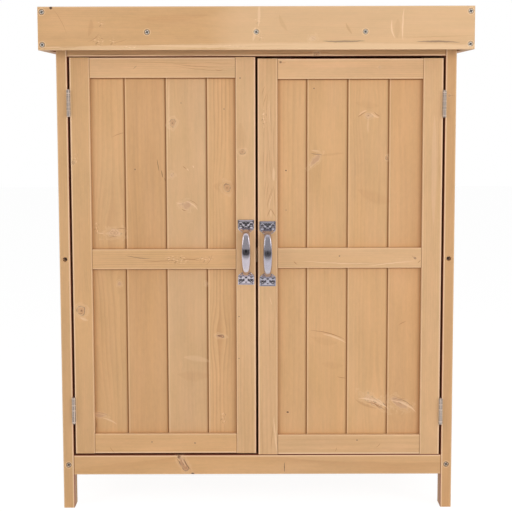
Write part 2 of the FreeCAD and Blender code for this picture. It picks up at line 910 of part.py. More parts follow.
def hinge_leaf(label, middle, start, knuckles, holes):
    """One leaf of a butt hinge: a plate in the gap, and its own knuckles.

    start is the plate's low side. The plate stands clear of the other leaf's
    knuckles, and a finger joins it to each of its own. holes are its screws'.
    """
    low = "(" + middle + ") - hinge_length / 2"
    clear = "knuckle_radius + knuckle_play"
    plate = doc.addObject("Part::Box", label + "_plate")
    sized(
        plate,
        ("leaf_thickness", "hinge_reach + leaf_depth - (" + clear + ")", "hinge_length"),
        (start, "hinge_front + " + clear, low),
    )
    parts = [plate]
    for number in knuckles:
        base = low + " + " + str(number) + " * knuckle_pitch + knuckle_play / 2"
        height = "knuckle_pitch - knuckle_play"
        name = label + "_knuckle" + str(number)
        parts.append(tube(name, "knuckle_radius", height, ("-hinge_line", "hinge_front", base)))
        finger = doc.addObject("Part::Box", name + "_finger")
        reach = "(bore_radius + knuckle_radius) / 2"
        sized(
            finger,
            ("leaf_thickness", clear + " - " + reach + " + leaf_thickness", height),
            (start, "hinge_front + " + reach, base),
        )
        parts.append(finger)
    leaf = doc.addObject("Part::Cut", label + "_bored")
    leaf.Base = joined(label + "_leaf", parts)
    bore = tube(label + "_bore", "bore_radius", "hinge_length", ("-hinge_line", "hinge_front", low))
    leaf.Tool = grouped(label + "_holes", [bore] + holes)
    return leaf


def hinge_pin(label, middle):
    """The pin of one hinge, with a head at each end of the barrel."""
    low = "(" + middle + ") - hinge_length / 2"
    line = ("-hinge_line", "hinge_front")
    length = "hinge_length - knuckle_play"
    bar = tube(label + "_bar", "hinge_pin_radius", length, line + (low + " + knuckle_play / 2",))
    heads = []
    for number, start in enumerate((
        low + " + knuckle_play / 2 - pin_head_height",
        low + " + hinge_length - knuckle_play / 2",
    )):
        heads.append(
            tube(label + "_head" + str(number), "pin_head_radius", "pin_head_height", line + (start,)))
    return joined(label, [bar] + heads)


def hinge_screws(label, middle, face, axis, play="0"):
    """The screws of one leaf, evenly spaced up its height."""
    screws = []
    for number in range(LEAF_SCREWS):
        step = str(number - (LEAF_SCREWS - 1) / 2)
        height = "(" + middle + ") + (" + step + ") * hinge_length / " + str(LEAF_SCREWS)
        corner = (face, "body_front + leaf_depth / 2 + leaf_thickness", height)
        name = label + "_screw" + str(number + 1)
        screws.append(small_screw(name, corner, axis, play))
    return screws


def hinges():
    """Two butt hinges of the left door, and the right post's leaves and screws.

    The post's leaves hold the outer knuckles. Returns the door leaves' screws.
    """
    heights = {"lower": "door_low + hinge_inset", "upper": "door_high - hinge_inset"}
    sides = {
        "post": ("-opening_half", "-opening_half + leaf_thickness", "-x", range(0, KNUCKLES, 2)),
        "door": (
            "-door_hinge_edge - leaf_thickness",
            "-door_hinge_edge - leaf_thickness",
            "+x",
            range(1, KNUCKLES, 2),
        ),
    }
    leaves = {"post": [], "door": []}
    screws = {"post": [], "door": []}
    seats = {"post": [], "door": []}
    pins = []
    for place, middle in heights.items():
        for side, (start, face, axis, knuckles) in sides.items():
            name = side + "_hinge_" + place
            holes = hinge_screws(name + "_hole", middle, face, axis, "screw_play")
            leaves[side].append(hinge_leaf(name, middle, start, knuckles, holes))
            screws[side] += hinge_screws(name, middle, face, axis)
            seats[side] += holes
        pins.append(hinge_pin("hinge_pin_" + place, middle))
    post_seats = grouped("left_post_seats", seats["post"])
    drilled(nodes["front_left_post"], [post_seats])
    drilled(nodes["front_right_post"],
            [reflection("right_post_seats", post_seats, "-right_door_drop")])
    drilled(nodes["left_door_hinge_stile"], seats["door"])
    on_both_sides("post_hinge_leaves", leaves["post"])
    on_both_sides("post_hinge_screws", screws["post"])
    on_both_sides("hinge_pins", pins)
    keep("left_door_hinge_leaves", grouped("left_door_hinge_leaves", leaves["door"]))
    return screws["door"]


def on_both_sides(label, left_items):
    """One sub-part of like pieces at the left door and at the right one."""
    right_items = [
        reflection(item.Name + "_right", item, "-right_door_drop") for item in left_items
    ]
    keep(label, grouped(label, left_items + right_items))


def arch_point(share, half, reach):
    """A point of the grip's line: outwards from the door, and up.

    share runs from 0 at the upper foot to 1 at the lower one. The line is close
    to a half ellipse: its height follows the cosine, and its reach a power of
    the sine, of the half turn between the feet.
    """
    angle = math.pi * share
    return math.sin(angle) ** ARCH_REACH * reach, math.cos(angle) * half


def grip_section(number, half, reach):
    """One oval section of the grip, square to its line."""
    share = number / (HANDLE_STATIONS - 1)
    outward, up = arch_point(share, 1, 1)
    step = 0.5 / HANDLE_STATIONS
    before = arch_point(max(share - step, 0), half, reach)
    after = arch_point(min(share + step, 1), half, reach)
    tangent = math.degrees(math.atan2(before[1] - after[1], after[0] - before[0]))
    if number in (0, HANDLE_STATIONS - 1):
        tangent = 180 * share
    swell = round(max(0, 1 - (up / NECK_SHARE) ** 2), 4)
    flare = round((1 - outward) ** FLARE_POWER, 4)
    size = "(neck_{0} + (grip_{0} - neck_{0}) * {1} + (flare_{0} - neck_{0}) * {2}) / 2"
    section = doc.addObject("Part::Ellipse", "grip_section" + str(number))
    bind(section, {
        "MajorRadius": size.format("width", swell, flare),
        "MinorRadius": size.format("thickness", swell, flare),
    })
    turn(section, (1, 0, 0), 90 + tangent)
    move(section, (
        "-handle_line",
        "grip_root - grip_reach * " + str(round(outward, 4)),
        "handle_centre + grip_half * (" + str(round(up, 4)) + ")",
    ))
    return section


def handle_foot(place, cut_side, corner):
    """One foot: a plate whose two corners beside the grip are cut off.

    cut_side tells whether these corners are the low or the high ones.
    """
    near, far = ("0", "foot_height")
    step = "foot_cut_height"
    if cut_side == "high":
        near, far = (far, near)
        step = "foot_height - foot_cut_height"
    ring = (
        ("foot_cut_width", near),
        ("foot_width - foot_cut_width", near),
        ("foot_width", step),
        ("foot_width", far),
        ("0", far),
        ("0", step),
    )
    foot = prism("handle_" + place + "_foot", "XZ_Plane", ring, "foot_thickness", corner)
    plate = foot.Tip
    doc.recompute()
    eased = foot.newObject("PartDesign::Fillet", "handle_" + place + "_corners")
    eased.Base = (plate, edges_at(foot.Shape, "y", "any"))
    bind(eased, {"Radius": "foot_corner"})
    return foot


def handle():
    """The left pull handle: a bowed grip that swells, and two flat feet."""
    doc.recompute()
    half = places.get("grip_half")
    reach = places.get("grip_reach")
    grip = doc.addObject("Part::Loft", "left_grip")
    grip.Sections = [grip_section(number, half, reach) for number in range(HANDLE_STATIONS)]
    grip.Solid = True
    feet = []
    for place, sign, cut_side in (("upper", "+", "low"), ("lower", "-", "high")):
        corner = (
            "-handle_line - foot_width / 2",
            "body_front - foot_thickness",
            "handle_centre " + sign + " foot_centre - foot_height / 2",
        )
        feet.append(handle_foot(place, cut_side, corner))
    return keep("left_door_handle", joined("left_door_handle", [grip] + feet))


def handle_screws(label, play="0"):
    """Two screws through each foot of the left handle."""
    screws = []
    for place, sign in (("upper", "+"), ("lower", "-")):
        for number, side in enumerate(("-", "+")):
            corner = (
                "-handle_line " + side + " handle_screw_spacing / 2",
                "body_front - foot_thickness",
                "handle_centre " + sign + " foot_screw_rise",
            )
            name = label + "_" + place + str(number + 1)
            screws.append(small_screw(name, corner, "+y", play))
    return screws


def strike_plate():
    """The steel plate behind the left door's top rail, drawn by the catch."""
    return timber(
        "left_door_strike_plate",
        ("strike_width", "strike_thickness", "strike_height"),
        (
            "-catch_offset - strike_width / 2",
            "door_back",
            "body_height - top_rail_height - catch_height / 2 - strike_height / 2",
        ),
    )


def catches():
    """A magnetic catch for each door, under the top rail."""
    left = squared(
        "left_magnetic_catch",
        ("catch_width", "catch_depth", "catch_height"),
        (
            "-catch_offset - catch_width / 2",
            "door_back + strike_thickness + catch_gap",
            "body_height - top_rail_height - catch_height",
        ),
    )
    both = [left, reflection("right_magnetic_catch", left)]
    keep("magnetic_catches", grouped("magnetic_catches", both))


def doors():
    """The left door and its hinges, and the right door as their mirror image."""
    door_frame()
    screws = hinges()
    handle()
    drilled(nodes["left_door_handle"], handle_screws("foot_hole", "screw_play"))
    drilled(nodes["left_door_free_stile"], handle_screws("stile_hole", "screw_play"))
    screws += handle_screws("handle_screw")
    keep("left_door_screws", grouped("left_door_screws", screws))
    strike_plate()
    for label in [name for name in nodes if name.startswith("left_door")]:
        mirrored(label, "right_middle_rise" if "middle_rail" in label else "-right_door_drop")


def check():
    """Stops if any object failed, or if a sub-part is missing or not sound."""
    for item in doc.Objects:
        if "Invalid" in item.State or "Error" in item.State:
            raise RuntimeError(item.Name + " failed: " + str(item.State))
    for label, item in nodes.items():
        shape = item.Shape
        if shape.isNull() or not shape.isValid() or not shape.Solids:
            raise RuntimeError(label + " has no sound solid")


sizes = fill_sheet("Sizes", [(name, str(value), remark) for name, value, remark in SIZES])
places = fill_sheet("Places", [(name, "=" + linked(formula), "") for name, formula in PLACES])
side_frames()
front_rails()
back()
floor()
shelf()
roof_boards()
roof_bearers()
deck()
felt()
roof_screws()
catches()
doors()
doc.recompute()
check()
os.makedirs("parts", exist_ok=True)
for node, item in sorted(nodes.items()):
    item.Shape.exportStep("parts/" + node + ".step")
print(len(nodes), "sub-parts")
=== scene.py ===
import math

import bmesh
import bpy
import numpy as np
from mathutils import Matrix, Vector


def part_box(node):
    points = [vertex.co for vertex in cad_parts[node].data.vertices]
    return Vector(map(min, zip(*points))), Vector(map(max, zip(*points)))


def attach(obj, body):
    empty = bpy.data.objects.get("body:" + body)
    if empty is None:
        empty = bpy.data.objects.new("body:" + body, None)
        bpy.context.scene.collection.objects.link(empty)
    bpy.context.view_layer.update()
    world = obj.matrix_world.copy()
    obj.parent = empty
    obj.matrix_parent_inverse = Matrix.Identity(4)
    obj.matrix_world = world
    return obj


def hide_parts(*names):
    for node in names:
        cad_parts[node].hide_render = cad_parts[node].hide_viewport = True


bl_info = {
    "name": "Garden cabinet",
    "version": (1, 0, 0),
    "blender": (4, 5, 0),
    "location": "View3D > Sidebar > Garden cabinet",
    "description": "Dresses a softwood garden cabinet: timber, felt, hinges, screws and handles",
    "category": "Object",
}

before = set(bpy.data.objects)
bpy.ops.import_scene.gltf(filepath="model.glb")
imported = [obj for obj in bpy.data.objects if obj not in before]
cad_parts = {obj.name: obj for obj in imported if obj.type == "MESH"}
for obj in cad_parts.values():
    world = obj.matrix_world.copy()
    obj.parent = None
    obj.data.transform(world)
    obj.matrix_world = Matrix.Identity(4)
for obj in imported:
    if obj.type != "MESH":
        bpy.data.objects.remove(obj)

MM = 0.001


# Colours

def plain(red, green, blue):
    """A colour as a paint chart gives it, 0 to 255, as Blender's linear values."""
    parts = np.array((red, green, blue)) / 255
    linear = np.where(parts <= 0.04045, parts / 12.92, ((parts + 0.055) / 1.055) ** 2.4)
    return tuple(float(part) for part in linear)


def colour_property(name, description, chart):
    """A colour that the panel shows."""
    return bpy.props.FloatVectorProperty(
        name=name, description=description, subtype="COLOR", size=3, min=0, max=1,
        default=plain(*chart),
    )


def length_property(name, description, millimetres):
    """A length that the panel shows."""
    return bpy.props.FloatProperty(
        name=name, description=description, unit="LENGTH", default=millimetres * MM,
    )


def share_property(name, description, value):
    """A share of something, from nought to one."""
    return bpy.props.FloatProperty(
        name=name, description=description, subtype="FACTOR", min=0, max=1, default=value,
    )


def power_property(name, description, watts):
    """The power of a lamp."""
    return bpy.props.FloatProperty(
        name=name, description=description, unit="POWER", min=0, default=watts,
    )


def angle_property(name, description, degrees):
    """An angle that the panel shows."""
    return bpy.props.FloatProperty(
        name=name, description=description, subtype="ANGLE", default=math.radians(degrees),
    )


class TimberSettings(bpy.types.PropertyGroup):
    """Softwood: its colours and its figure, and the colours that paint its shade and highlights."""

    honey: colour_property("Honey", "Stained softwood", (213, 168, 119))
    pale: colour_property("Pale", "Lighter boards", (215, 173, 128))
    ruddy: colour_property("Ruddy", "Redder boards", (211, 164, 115))
    bare: colour_property("Bare", "Timber inside the cabinet", (220, 184, 141))
    late: colour_property("Late wood", "Dark line of each year's ring", (176, 122, 74))
    knot_brown: colour_property("Knot", "Face of a live knot", (194, 146, 112))
    knot_pink: colour_property("Pale knot", "Face of a pale knot", (228, 188, 152))
    knot_grey: colour_property("Grey knot", "Face of a weathered knot", (200, 158, 126))
    knot_rim: colour_property("Knot rim", "Bark round a knot", (134, 92, 64))
    # Dark of dead knots, cracks and bark; also the painted shadow ring round screw heads in the
    # timber
    knot_dark_and_shade: colour_property("Dead knot", "Pin knots, cracks and bark", (70, 40, 24))
    halo: colour_property("Halo", "Swirled grain round a knot", (228, 192, 150))
    # Dark stain in joints; also painted shade beside the stiles, under the rails and on the left
    # bevel of each board groove
    joint_stain_and_shade: colour_property("Joint", "Stain gathered in joints", (136, 84, 38))
    # Pale edges: worn, and also painted highlights on the arrises and on the right bevel of each
    # board groove
    worn_and_painted_light: colour_property("Worn edge", "Edges where the stain is thin", (240, 206, 166))
    # Painted shade, dark red-brown, on the sides of the gaps round the doors
    painted_gap_shade: colour_property("Rebate", "Stained edges in the gaps round the doors", (150, 66, 36))
    roughness: share_property("Roughness", "How dull the stained face is", 0.56)
    ring: length_property("Ring", "Width of one year's growth", 3.4)
    fibre: length_property("Fibre", "Width of a fibre streak", 0.9)


class HandleSettings(bpy.types.PropertyGroup):
    """The bow handles."""

    height: length_property("Height", "Over both feet", 115)
    reach: length_property("Reach", "Door face to the front of the grip", 30)
    foot_width: length_property("Foot width", "Across a foot", 29)
    foot_height: length_property("Foot height", "Up a foot", 23)
    foot_cut_width: length_property("Cut width", "Corners cut off beside the grip", 7.5)
    foot_cut_height: length_property("Cut height", "Corners cut off beside the grip", 6)
    foot_thickness: length_property("Foot thickness", "Rim of a foot", 3)
    grip_width: length_property("Grip width", "At the swell", 15.6)
    grip_thickness: length_property("Grip thickness", "At the swell", 8)
    neck_width: length_property("Neck width", "Beside a foot", 11.4)
    neck_thickness: length_property("Neck thickness", "Beside a foot", 6)
    flare_width: length_property("Flare width", "Where the grip meets a foot", 22)
    flare_thickness: length_property("Flare thickness", "Where the grip meets a foot", 8)
    chrome: colour_property("Chrome", "Plated handles", (204, 196, 201))
    # The right handle's chrome: rougher, and darker as painted shade
    worn_and_painted_light: colour_property("Worn chrome", "The right handle, duller", (190, 186, 194))


class HardwareSettings(bpy.types.PropertyGroup):
    """Screws, hinges and catches."""

    zinc: colour_property("Zinc", "Hinges, strike plates and their screws", (220, 202, 188))
    bright: colour_property("Bright zinc", "Screws of the roof", (228, 220, 210))
    dull: colour_property("Dull zinc", "Screws of the frame", (206, 190, 174))
    recess_arm: share_property("Recess arm", "Reach of a cross recess, of the head's radius", 0.7)
    recess_web: share_property("Recess web", "Half width of an arm, of the head's radius", 0.2)
    recess_depth: share_property("Recess depth", "Depth of the cross, of the head's radius", 0.5)
    catch: colour_property("Catch", "Moulded case of a magnetic catch", (92, 62, 42))


class RoofSettings(bpy.types.PropertyGroup):
    """The felt on the roof."""

    felt: colour_property("Felt", "Mineral felt", (74, 76, 78))
    grit: length_property("Grit", "One grain of the felt's mineral", 0.9)


class StageSettings(bpy.types.PropertyGroup):
    """Camera, lamps and floor."""

    lens: bpy.props.FloatProperty(
        name="Lens", description="Focal length", unit="CAMERA", default=96.89,
    )
    camera_side: length_property("Camera side", "Camera to the right of the middle", -1.5)
    camera_front: length_property("Camera distance", "Camera ahead of the roof's middle", 2575)
    camera_height: length_property("Camera height", "Camera above the ground", 722)
    camera_pitch: angle_property("Pitch", "How far the camera looks down", 6.45)
    camera_roll: angle_property("Roll", "How far the camera leans", 0.145)
    floor: colour_property("Floor", "Floor and surroundings", (244, 244, 244))
    daylight: share_property("Daylight", "Strength of the even light, of full white", 0.27)
    front_power: power_property("Front lamp", "The broad lamp in front", 39)
    side_power: power_property("Side lamps", "Each low lamp at a side", 12)
    key_power: power_property("Key lamps", "Each high lamp that the chrome shows", 5)
    top_power: power_property("Top lamp", "The lamp overhead", 5)


# Signals: sums in a shader tree, written as sums

class Signal:
    """A number that changes over a surface. Sums on it add Math nodes to its tree."""

    def __init__(self, tree, socket):
        self.tree = tree
        self.socket = socket

    def math(self, operation, *others):
        """The result of a sum with other signals or numbers."""
        node = add(self.tree, "Math", {"operation": operation})
        feed(self.tree, node.inputs[0], self)
        for socket, other in zip(node.inputs[1:], others):
            feed(self.tree, socket, other)
        return Signal(self.tree, node.outputs[0])

    def __add__(self, other):
        return self.math("ADD", other)

    def __sub__(self, other):
        return self.math("SUBTRACT", other)

    def __mul__(self, other):
        return self.math("MULTIPLY", other)

    def __truediv__(self, other):
        return self.math("DIVIDE", other)

    def __pow__(self, other):
        return self.math("POWER", other)

    __radd__ = __add__
    __rmul__ = __mul__

    def __neg__(self):
        return self * -1.0

    def __rsub__(self, other):
        return (-self) + other

    def __rtruediv__(self, other):
        return self.math("POWER", -1.0) * other

    def root(self):
        """The square root."""
        return self.math("SQRT")

    def rise(self, low, high):
        """0 below low, 1 above high, and a smooth step between."""
        node = add(self.tree, "MapRange", {"interpolation_type": "SMOOTHSTEP"},
                   Value=self, From_Min=low, From_Max=high)
        return Signal(self.tree, node.outputs[0])


def feed(tree, socket, value):
    """Links a signal or socket, or sets a constant."""
    if isinstance(value, Signal):
        value = value.socket
    if isinstance(value, bpy.types.NodeSocket):
        tree.links.new(value, socket)
    elif socket.type == "RGBA" and len(value) == 3:
        socket.default_value = (*value, 1.0)
    else:
        socket.default_value = value


def add(tree, kind, settings=None, **inputs):
    """A shader node with its settings, and its inputs fed by name."""
    node = tree.nodes.new("ShaderNode" + kind)
    for name, value in (settings or {}).items():
        setattr(node, name, value)
    for name, value in inputs.items():
        feed(tree, node.inputs[name.replace("_", " ")], value)
    return node


def noise(tree, vector, scale=1.0, detail=2.0, roughness=0.5):
    """Smooth noise about nought, from -0.5 to 0.5."""
    node = add(tree, "TexNoise", Vector=vector, Scale=scale, Detail=detail, Roughness=roughness)
    return Signal(tree, node.outputs["Fac"]) - 0.5


def joined(tree, operation, first, second):
    """Two vectors, either of which may be a socket, made one part by part."""
    node = add(tree, "VectorMath", {"operation": operation})
    feed(tree, node.inputs[0], first)
    feed(tree, node.inputs[1], second)
    return node.outputs[0]


def shifted(tree, vector, offset):
    """The vector moved by an offset, which may be a socket."""
    return joined(tree, "ADD", vector, offset)


def split(tree, vector):
    """The three parts of a vector."""
    node = add(tree, "SeparateXYZ", Vector=vector)
    return [Signal(tree, socket) for socket in node.outputs]


def packed(tree, *parts):
    """Three signals or numbers as one vector."""
    node = add(tree, "CombineXYZ")
    for socket, part in zip(node.inputs, parts):
        feed(tree, socket, part)
    return node.outputs[0]


def mixed(tree, share, first, second, blend="MIX"):
    """Two colours mixed by a share."""
    node = add(tree, "Mix", {"data_type": "RGBA", "blend_type": blend, "clamp_factor": True})
    feed(tree, node.inputs[0], share)
    feed(tree, node.inputs[6], first)
    feed(tree, node.inputs[7], second)
    return node.outputs[2]


def tinted(tree, colour, red, green, blue):
    """A colour with each of its parts multiplied by a signal."""
    shade = add(tree, "CombineColor", Red=red, Green=green, Blue=blue)
    return mixed(tree, 1.0, colour, shade.outputs[0], "MULTIPLY")


def raised(tree, shader, strength, distance, height):
    """Gives a shader a bumped normal."""
    bump = add(tree, "Bump", Strength=strength, Distance=distance, Height=height)
    feed(tree, shader.inputs["Normal"], bump.outputs[0])


def new_material(name):
    """A material, its tree and its shader."""
    material = bpy.data.materials.new(name)
    material.use_nodes = True
    tree = material.node_tree
    return material, tree, tree.nodes["Principled BSDF"]


SOCKET_KINDS = dict.fromkeys(("Vector", "Place"), "Vector") | dict.fromkeys(
    ("Color", "Pale", "Late", "Face", "Rim", "Halo Color", "Ink"), "Color")


def new_group(name, inputs, outputs):
    """An empty node group, its input sockets by label, and its output sockets.

    The labels come as one text, and a label that SOCKET_KINDS doesn't hold is a number's.
    """
    tree = bpy.data.node_groups.new(name, "ShaderNodeTree")
    for in_out, labels in (("INPUT", inputs), ("OUTPUT", outputs)):
        for label in labels.split(", "):
            kind = SOCKET_KINDS.get(label, "Float")
            tree.interface.new_socket(label, in_out=in_out, socket_type="NodeSocket" + kind)
    sockets = tree.nodes.new("NodeGroupInput").outputs
    given = {
        label: sockets[label] if label in SOCKET_KINDS else Signal(tree, sockets[label])
        for label in inputs.split(", ")
    }
    return tree, given, tree.nodes.new("NodeGroupOutput").inputs


def use(tree, name, **inputs):
    """The outputs of a node group placed in the tree."""
    node = tree.nodes.new("ShaderNodeGroup")
    node.node_tree = bpy.data.node_groups[name]
    for label, value in inputs.items():
        feed(tree, node.inputs[label.replace("_", " ")], value)
    return node.outputs


# Groups for timber. Board space: x along the grain, y across it, z through it

def make_softwood():
    """Year rings round a pith behind the face, fibre streaks and cloudy patches.

    The ring number is the distance from the pith line, which wanders along the
    grain, over the ring's width. Each ring darkens slowly and ends sharply.
    """
    tree, given, out = new_group(
        "softwood",
        "Vector, Seed, Ring, Fibre, Pith, Depth, Wander, Figure, Pale, Late",
        "Color, Roughness, Height")
    seed = given["Seed"]
    place = shifted(tree, given["Vector"], packed(tree, seed * 3.1, seed * 5.7, seed * 1.9))
    _, across, deep = split(tree, given["Vector"])

    def layer(along, aside, origin=place, **shape):
        """Noise drawn out along the grain; along and aside count its waves in a metre."""
        return noise(tree, joined(tree, "MULTIPLY", origin, (along, aside, aside)), **shape)

    wander = layer(1.6, 7, detail=1.0) * given["Wander"] * 2
    ripple = layer(9, 60) * given["Ring"] * 0.9
    across = across - given["Pith"]
    deep = deep + given["Depth"]
    radius = (across * across + deep * deep).root() + wander + ripple
    ring = radius / given["Ring"]
    phase = ring.math("FRACT")
    late = phase.rise(0.3, 0.9) * (1.0 - phase.rise(0.9, 1.0))
    year = add(tree, "TexWhiteNoise", {"noise_dimensions": "1D"}, W=ring.math("FLOOR") + seed)
    late = late * (Signal(tree, year.outputs["Value"]) * 0.7 + 0.3)
    late = late * (layer(2.4, 18).rise(-0.16, 0.22) * 0.8 + 0.2)
    fibre = layer(0.02, 1, scale=1.0 / given["Fibre"], detail=3.0, roughness=0.62)
    streak = layer(4.5, 95, detail=3.0, roughness=0.6)
    cloud = layer(4.5, 17, detail=3.0)
    mottle = layer(90, 240, detail=3.0, roughness=0.7)
    blush = layer(11, 34, shifted(tree, place, (7.0, 2.0, 5.0)))
    warm = layer(4, 13, shifted(tree, place, (3.0, 9.0, 4.0)))
    base = mixed(tree, late * given["Figure"], given["Pale"], given["Late"])
    light = 1.0 + fibre * 0.16 + streak * 0.17 + cloud * 0.19 + mottle * 0.14 + blush * 0.12
    feed(tree, out["Color"], tinted(tree, base, light + blush * 0.03, light - warm * 0.07,
                                    light - warm * 0.22 + blush * 0.08))
    feed(tree, out["Roughness"], fibre * 0.25 + late * -0.08)
    feed(tree, out["Height"], late * 0.5 + fibre * 0.8 + streak * 0.3)


def turned(tree, given, turn):
    """Along and across distances from a mark's place, in axes turned by an angle."""
    node = add(tree, "VectorRotate", {"rotation_type": "Z_AXIS"},
               Vector=joined(tree, "SUBTRACT", given["Vector"], given["Place"]), Angle=turn)
    return split(tree, node.outputs[0])[:2]


def oval(given, along, across):
    """Distance from the middle of a mark's oval: 1 on its outline."""
    return ((along / given["Stretch"]) ** 2.0 + across ** 2.0).root() / given["Size"]


def make_flow():
    """Grain that parts round a knot.

    Near the knot the distance across is drawn towards the knot's own line, so
    that lines of equal distance swing out round it.
    """
    tree, given, out = new_group("flow", "Vector, Place, Size, Stretch", "Vector")
    along, across = turned(tree, given, 0.0)
    far = (along / (given["Stretch"] * 1.9)) ** 2.0 + across ** 2.0
    pull = (-(far / (given["Size"] * given["Size"] * 5.5))).math("EXPONENT")
    bend = packed(tree, 0.0, -(across * pull) * 0.92, 0.0)
    feed(tree, out["Vector"], shifted(tree, given["Vector"], bend))


def make_knot():
    """The face of a knot: a tinted oval with its own rings, a dark rim and a halo."""
    tree, given, out = new_group(
        "knot",
        "Vector, Color, Place, Size, Stretch, Turn, Face, Rim, Strength, Rim Strength, Halo, "
        "Halo Color, Rough, Heart",
        "Color")
    far = oval(given, *turned(tree, given, given["Turn"]))
    rough = noise(tree, given["Vector"], 130.0) * given["Rough"]
    near = far + rough * (far + 0.4)
    core = 1.0 - near.rise(0.7, 1.06)
    rings = (near * 15.0).math("SINE") * 0.5 + 0.5
    heart = 1.0 - near.rise(0.12, 0.3)
    patchy = noise(tree, given["Vector"], 120.0, 1.0).rise(-0.12, 0.1)
    rim = near.rise(0.78, 0.96) * (1.0 - near.rise(1.0, 1.2)) * (patchy * 0.8 + 0.2)
    swirl = (near * 7.4 + 1.0).math("SINE") * 0.45 + 0.55
    glow = (1.0 - near.rise(0.9, 2.3)) * near.rise(0.5, 1.1) * swirl
    colour = mixed(tree, glow * given["Halo"], given["Color"], given["Halo Color"])
    face = mixed(tree, rings * 0.42, given["Face"], given["Rim"])
    colour = mixed(tree, core * given["Strength"], colour, face)
    colour = mixed(tree, rim * given["Rim Strength"], colour, given["Rim"])
    feed(tree, out["Color"], mixed(tree, heart * given["Heart"], colour, given["Rim"]))


def make_line():
    """A crack or a line of bark: a bowed streak that thins to both ends.

    The distance from a parabola along the streak is set against a width that
    falls to nothing at the ends.
    """
    tree, given, out = new_group(
        "line", "Vector, Color, Place, Length, Width, Turn, Bow, Ink, Strength", "Color")
    along, across = turned(tree, given, given["Turn"])
    share = along / (given["Length"] * 0.5)
    shake = noise(tree, given["Vector"], 90.0, 3.0) * given["Width"].math("MINIMUM", 0.001) * 2.5
    off = (across - given["Bow"] * share * share + shake).math("ABSOLUTE")
    taper = (1.0 - share * share).math("MAXIMUM", 0.0)
    width = given["Width"] * (taper + 0.02)
    mark = (1.0 - (off / width).rise(0.35, 1.0)) * taper.rise(0.0, 0.2)
    feed(tree, out["Color"], mixed(tree, mark * given["Strength"], given["Color"], given["Ink"]))


def make_fleck():
    """Torn grain: short pale and dark ticks inside an oval, where a noise runs high or low."""
    tree, given, out = new_group(
        "fleck", "Vector, Color, Place, Size, Stretch, Pale, Ink", "Color")
    along, across = turned(tree, given, 0.0)
    far = oval(given, along, across)
    inside = 1.0 - (far + noise(tree, given["Vector"], 90.0) * 0.6).rise(0.4, 1.1)
    ticks = noise(tree, packed(tree, along * 170.0, across * 420.0, 0.0), roughness=0.6)
    pale = ticks.rise(0.05, 0.14) * inside
    dark = (-ticks).rise(0.07, 0.16) * inside
    colour = mixed(tree, pale * 0.75, given["Color"], given["Pale"])
    feed(tree, out["Color"], mixed(tree, dark * 0.7, colour, given["Ink"]))


def make_boards():
    """Splits a boarded face: the number of the board, and its own board space.

    The number counts whole covers from the first joint, held between 0 and the
    last board. Each board's width is measured from its own middle.
    """
    tree, given, out = new_group("boards", "Vector, First, Pitch, Last", "Vector, Number, Edge")
    along, across, deep = split(tree, given["Vector"])
    count = ((across - given["First"]) / given["Pitch"]).math("FLOOR") + 1.0
    count = count.math("MAXIMUM", 0.0).math("MINIMUM", given["Last"])
    middle = given["First"] + (count - 0.5) * given["Pitch"]
    feed(tree, out["Vector"], packed(tree, along + count * 0.37, across - middle, deep))
    feed(tree, out["Number"], count)
    fraction = ((across - given["First"]) / given["Pitch"] + 0.5).math("FRACT") - 0.5
    feed(tree, out["Edge"], fraction * given["Pitch"])


def make_band():
    """A soft band of ink along a line: full where the distance from it is short."""
    tree, given, out = new_group("band", "Color, Distance, Width, Ink, Strength", "Color")
    near = 1.0 - (given["Distance"].math("ABSOLUTE") / given["Width"]).rise(0.25, 1.0)
    feed(tree, out["Color"], mixed(tree, near * given["Strength"], given["Color"], given["Ink"]))


# What shows on each front piece, in mm from the middle and from the ground

PIN, TIGHT, FIRM, PALE, GREY, DEAD = "pin", "tight", "firm", "pale", "grey", "dead"

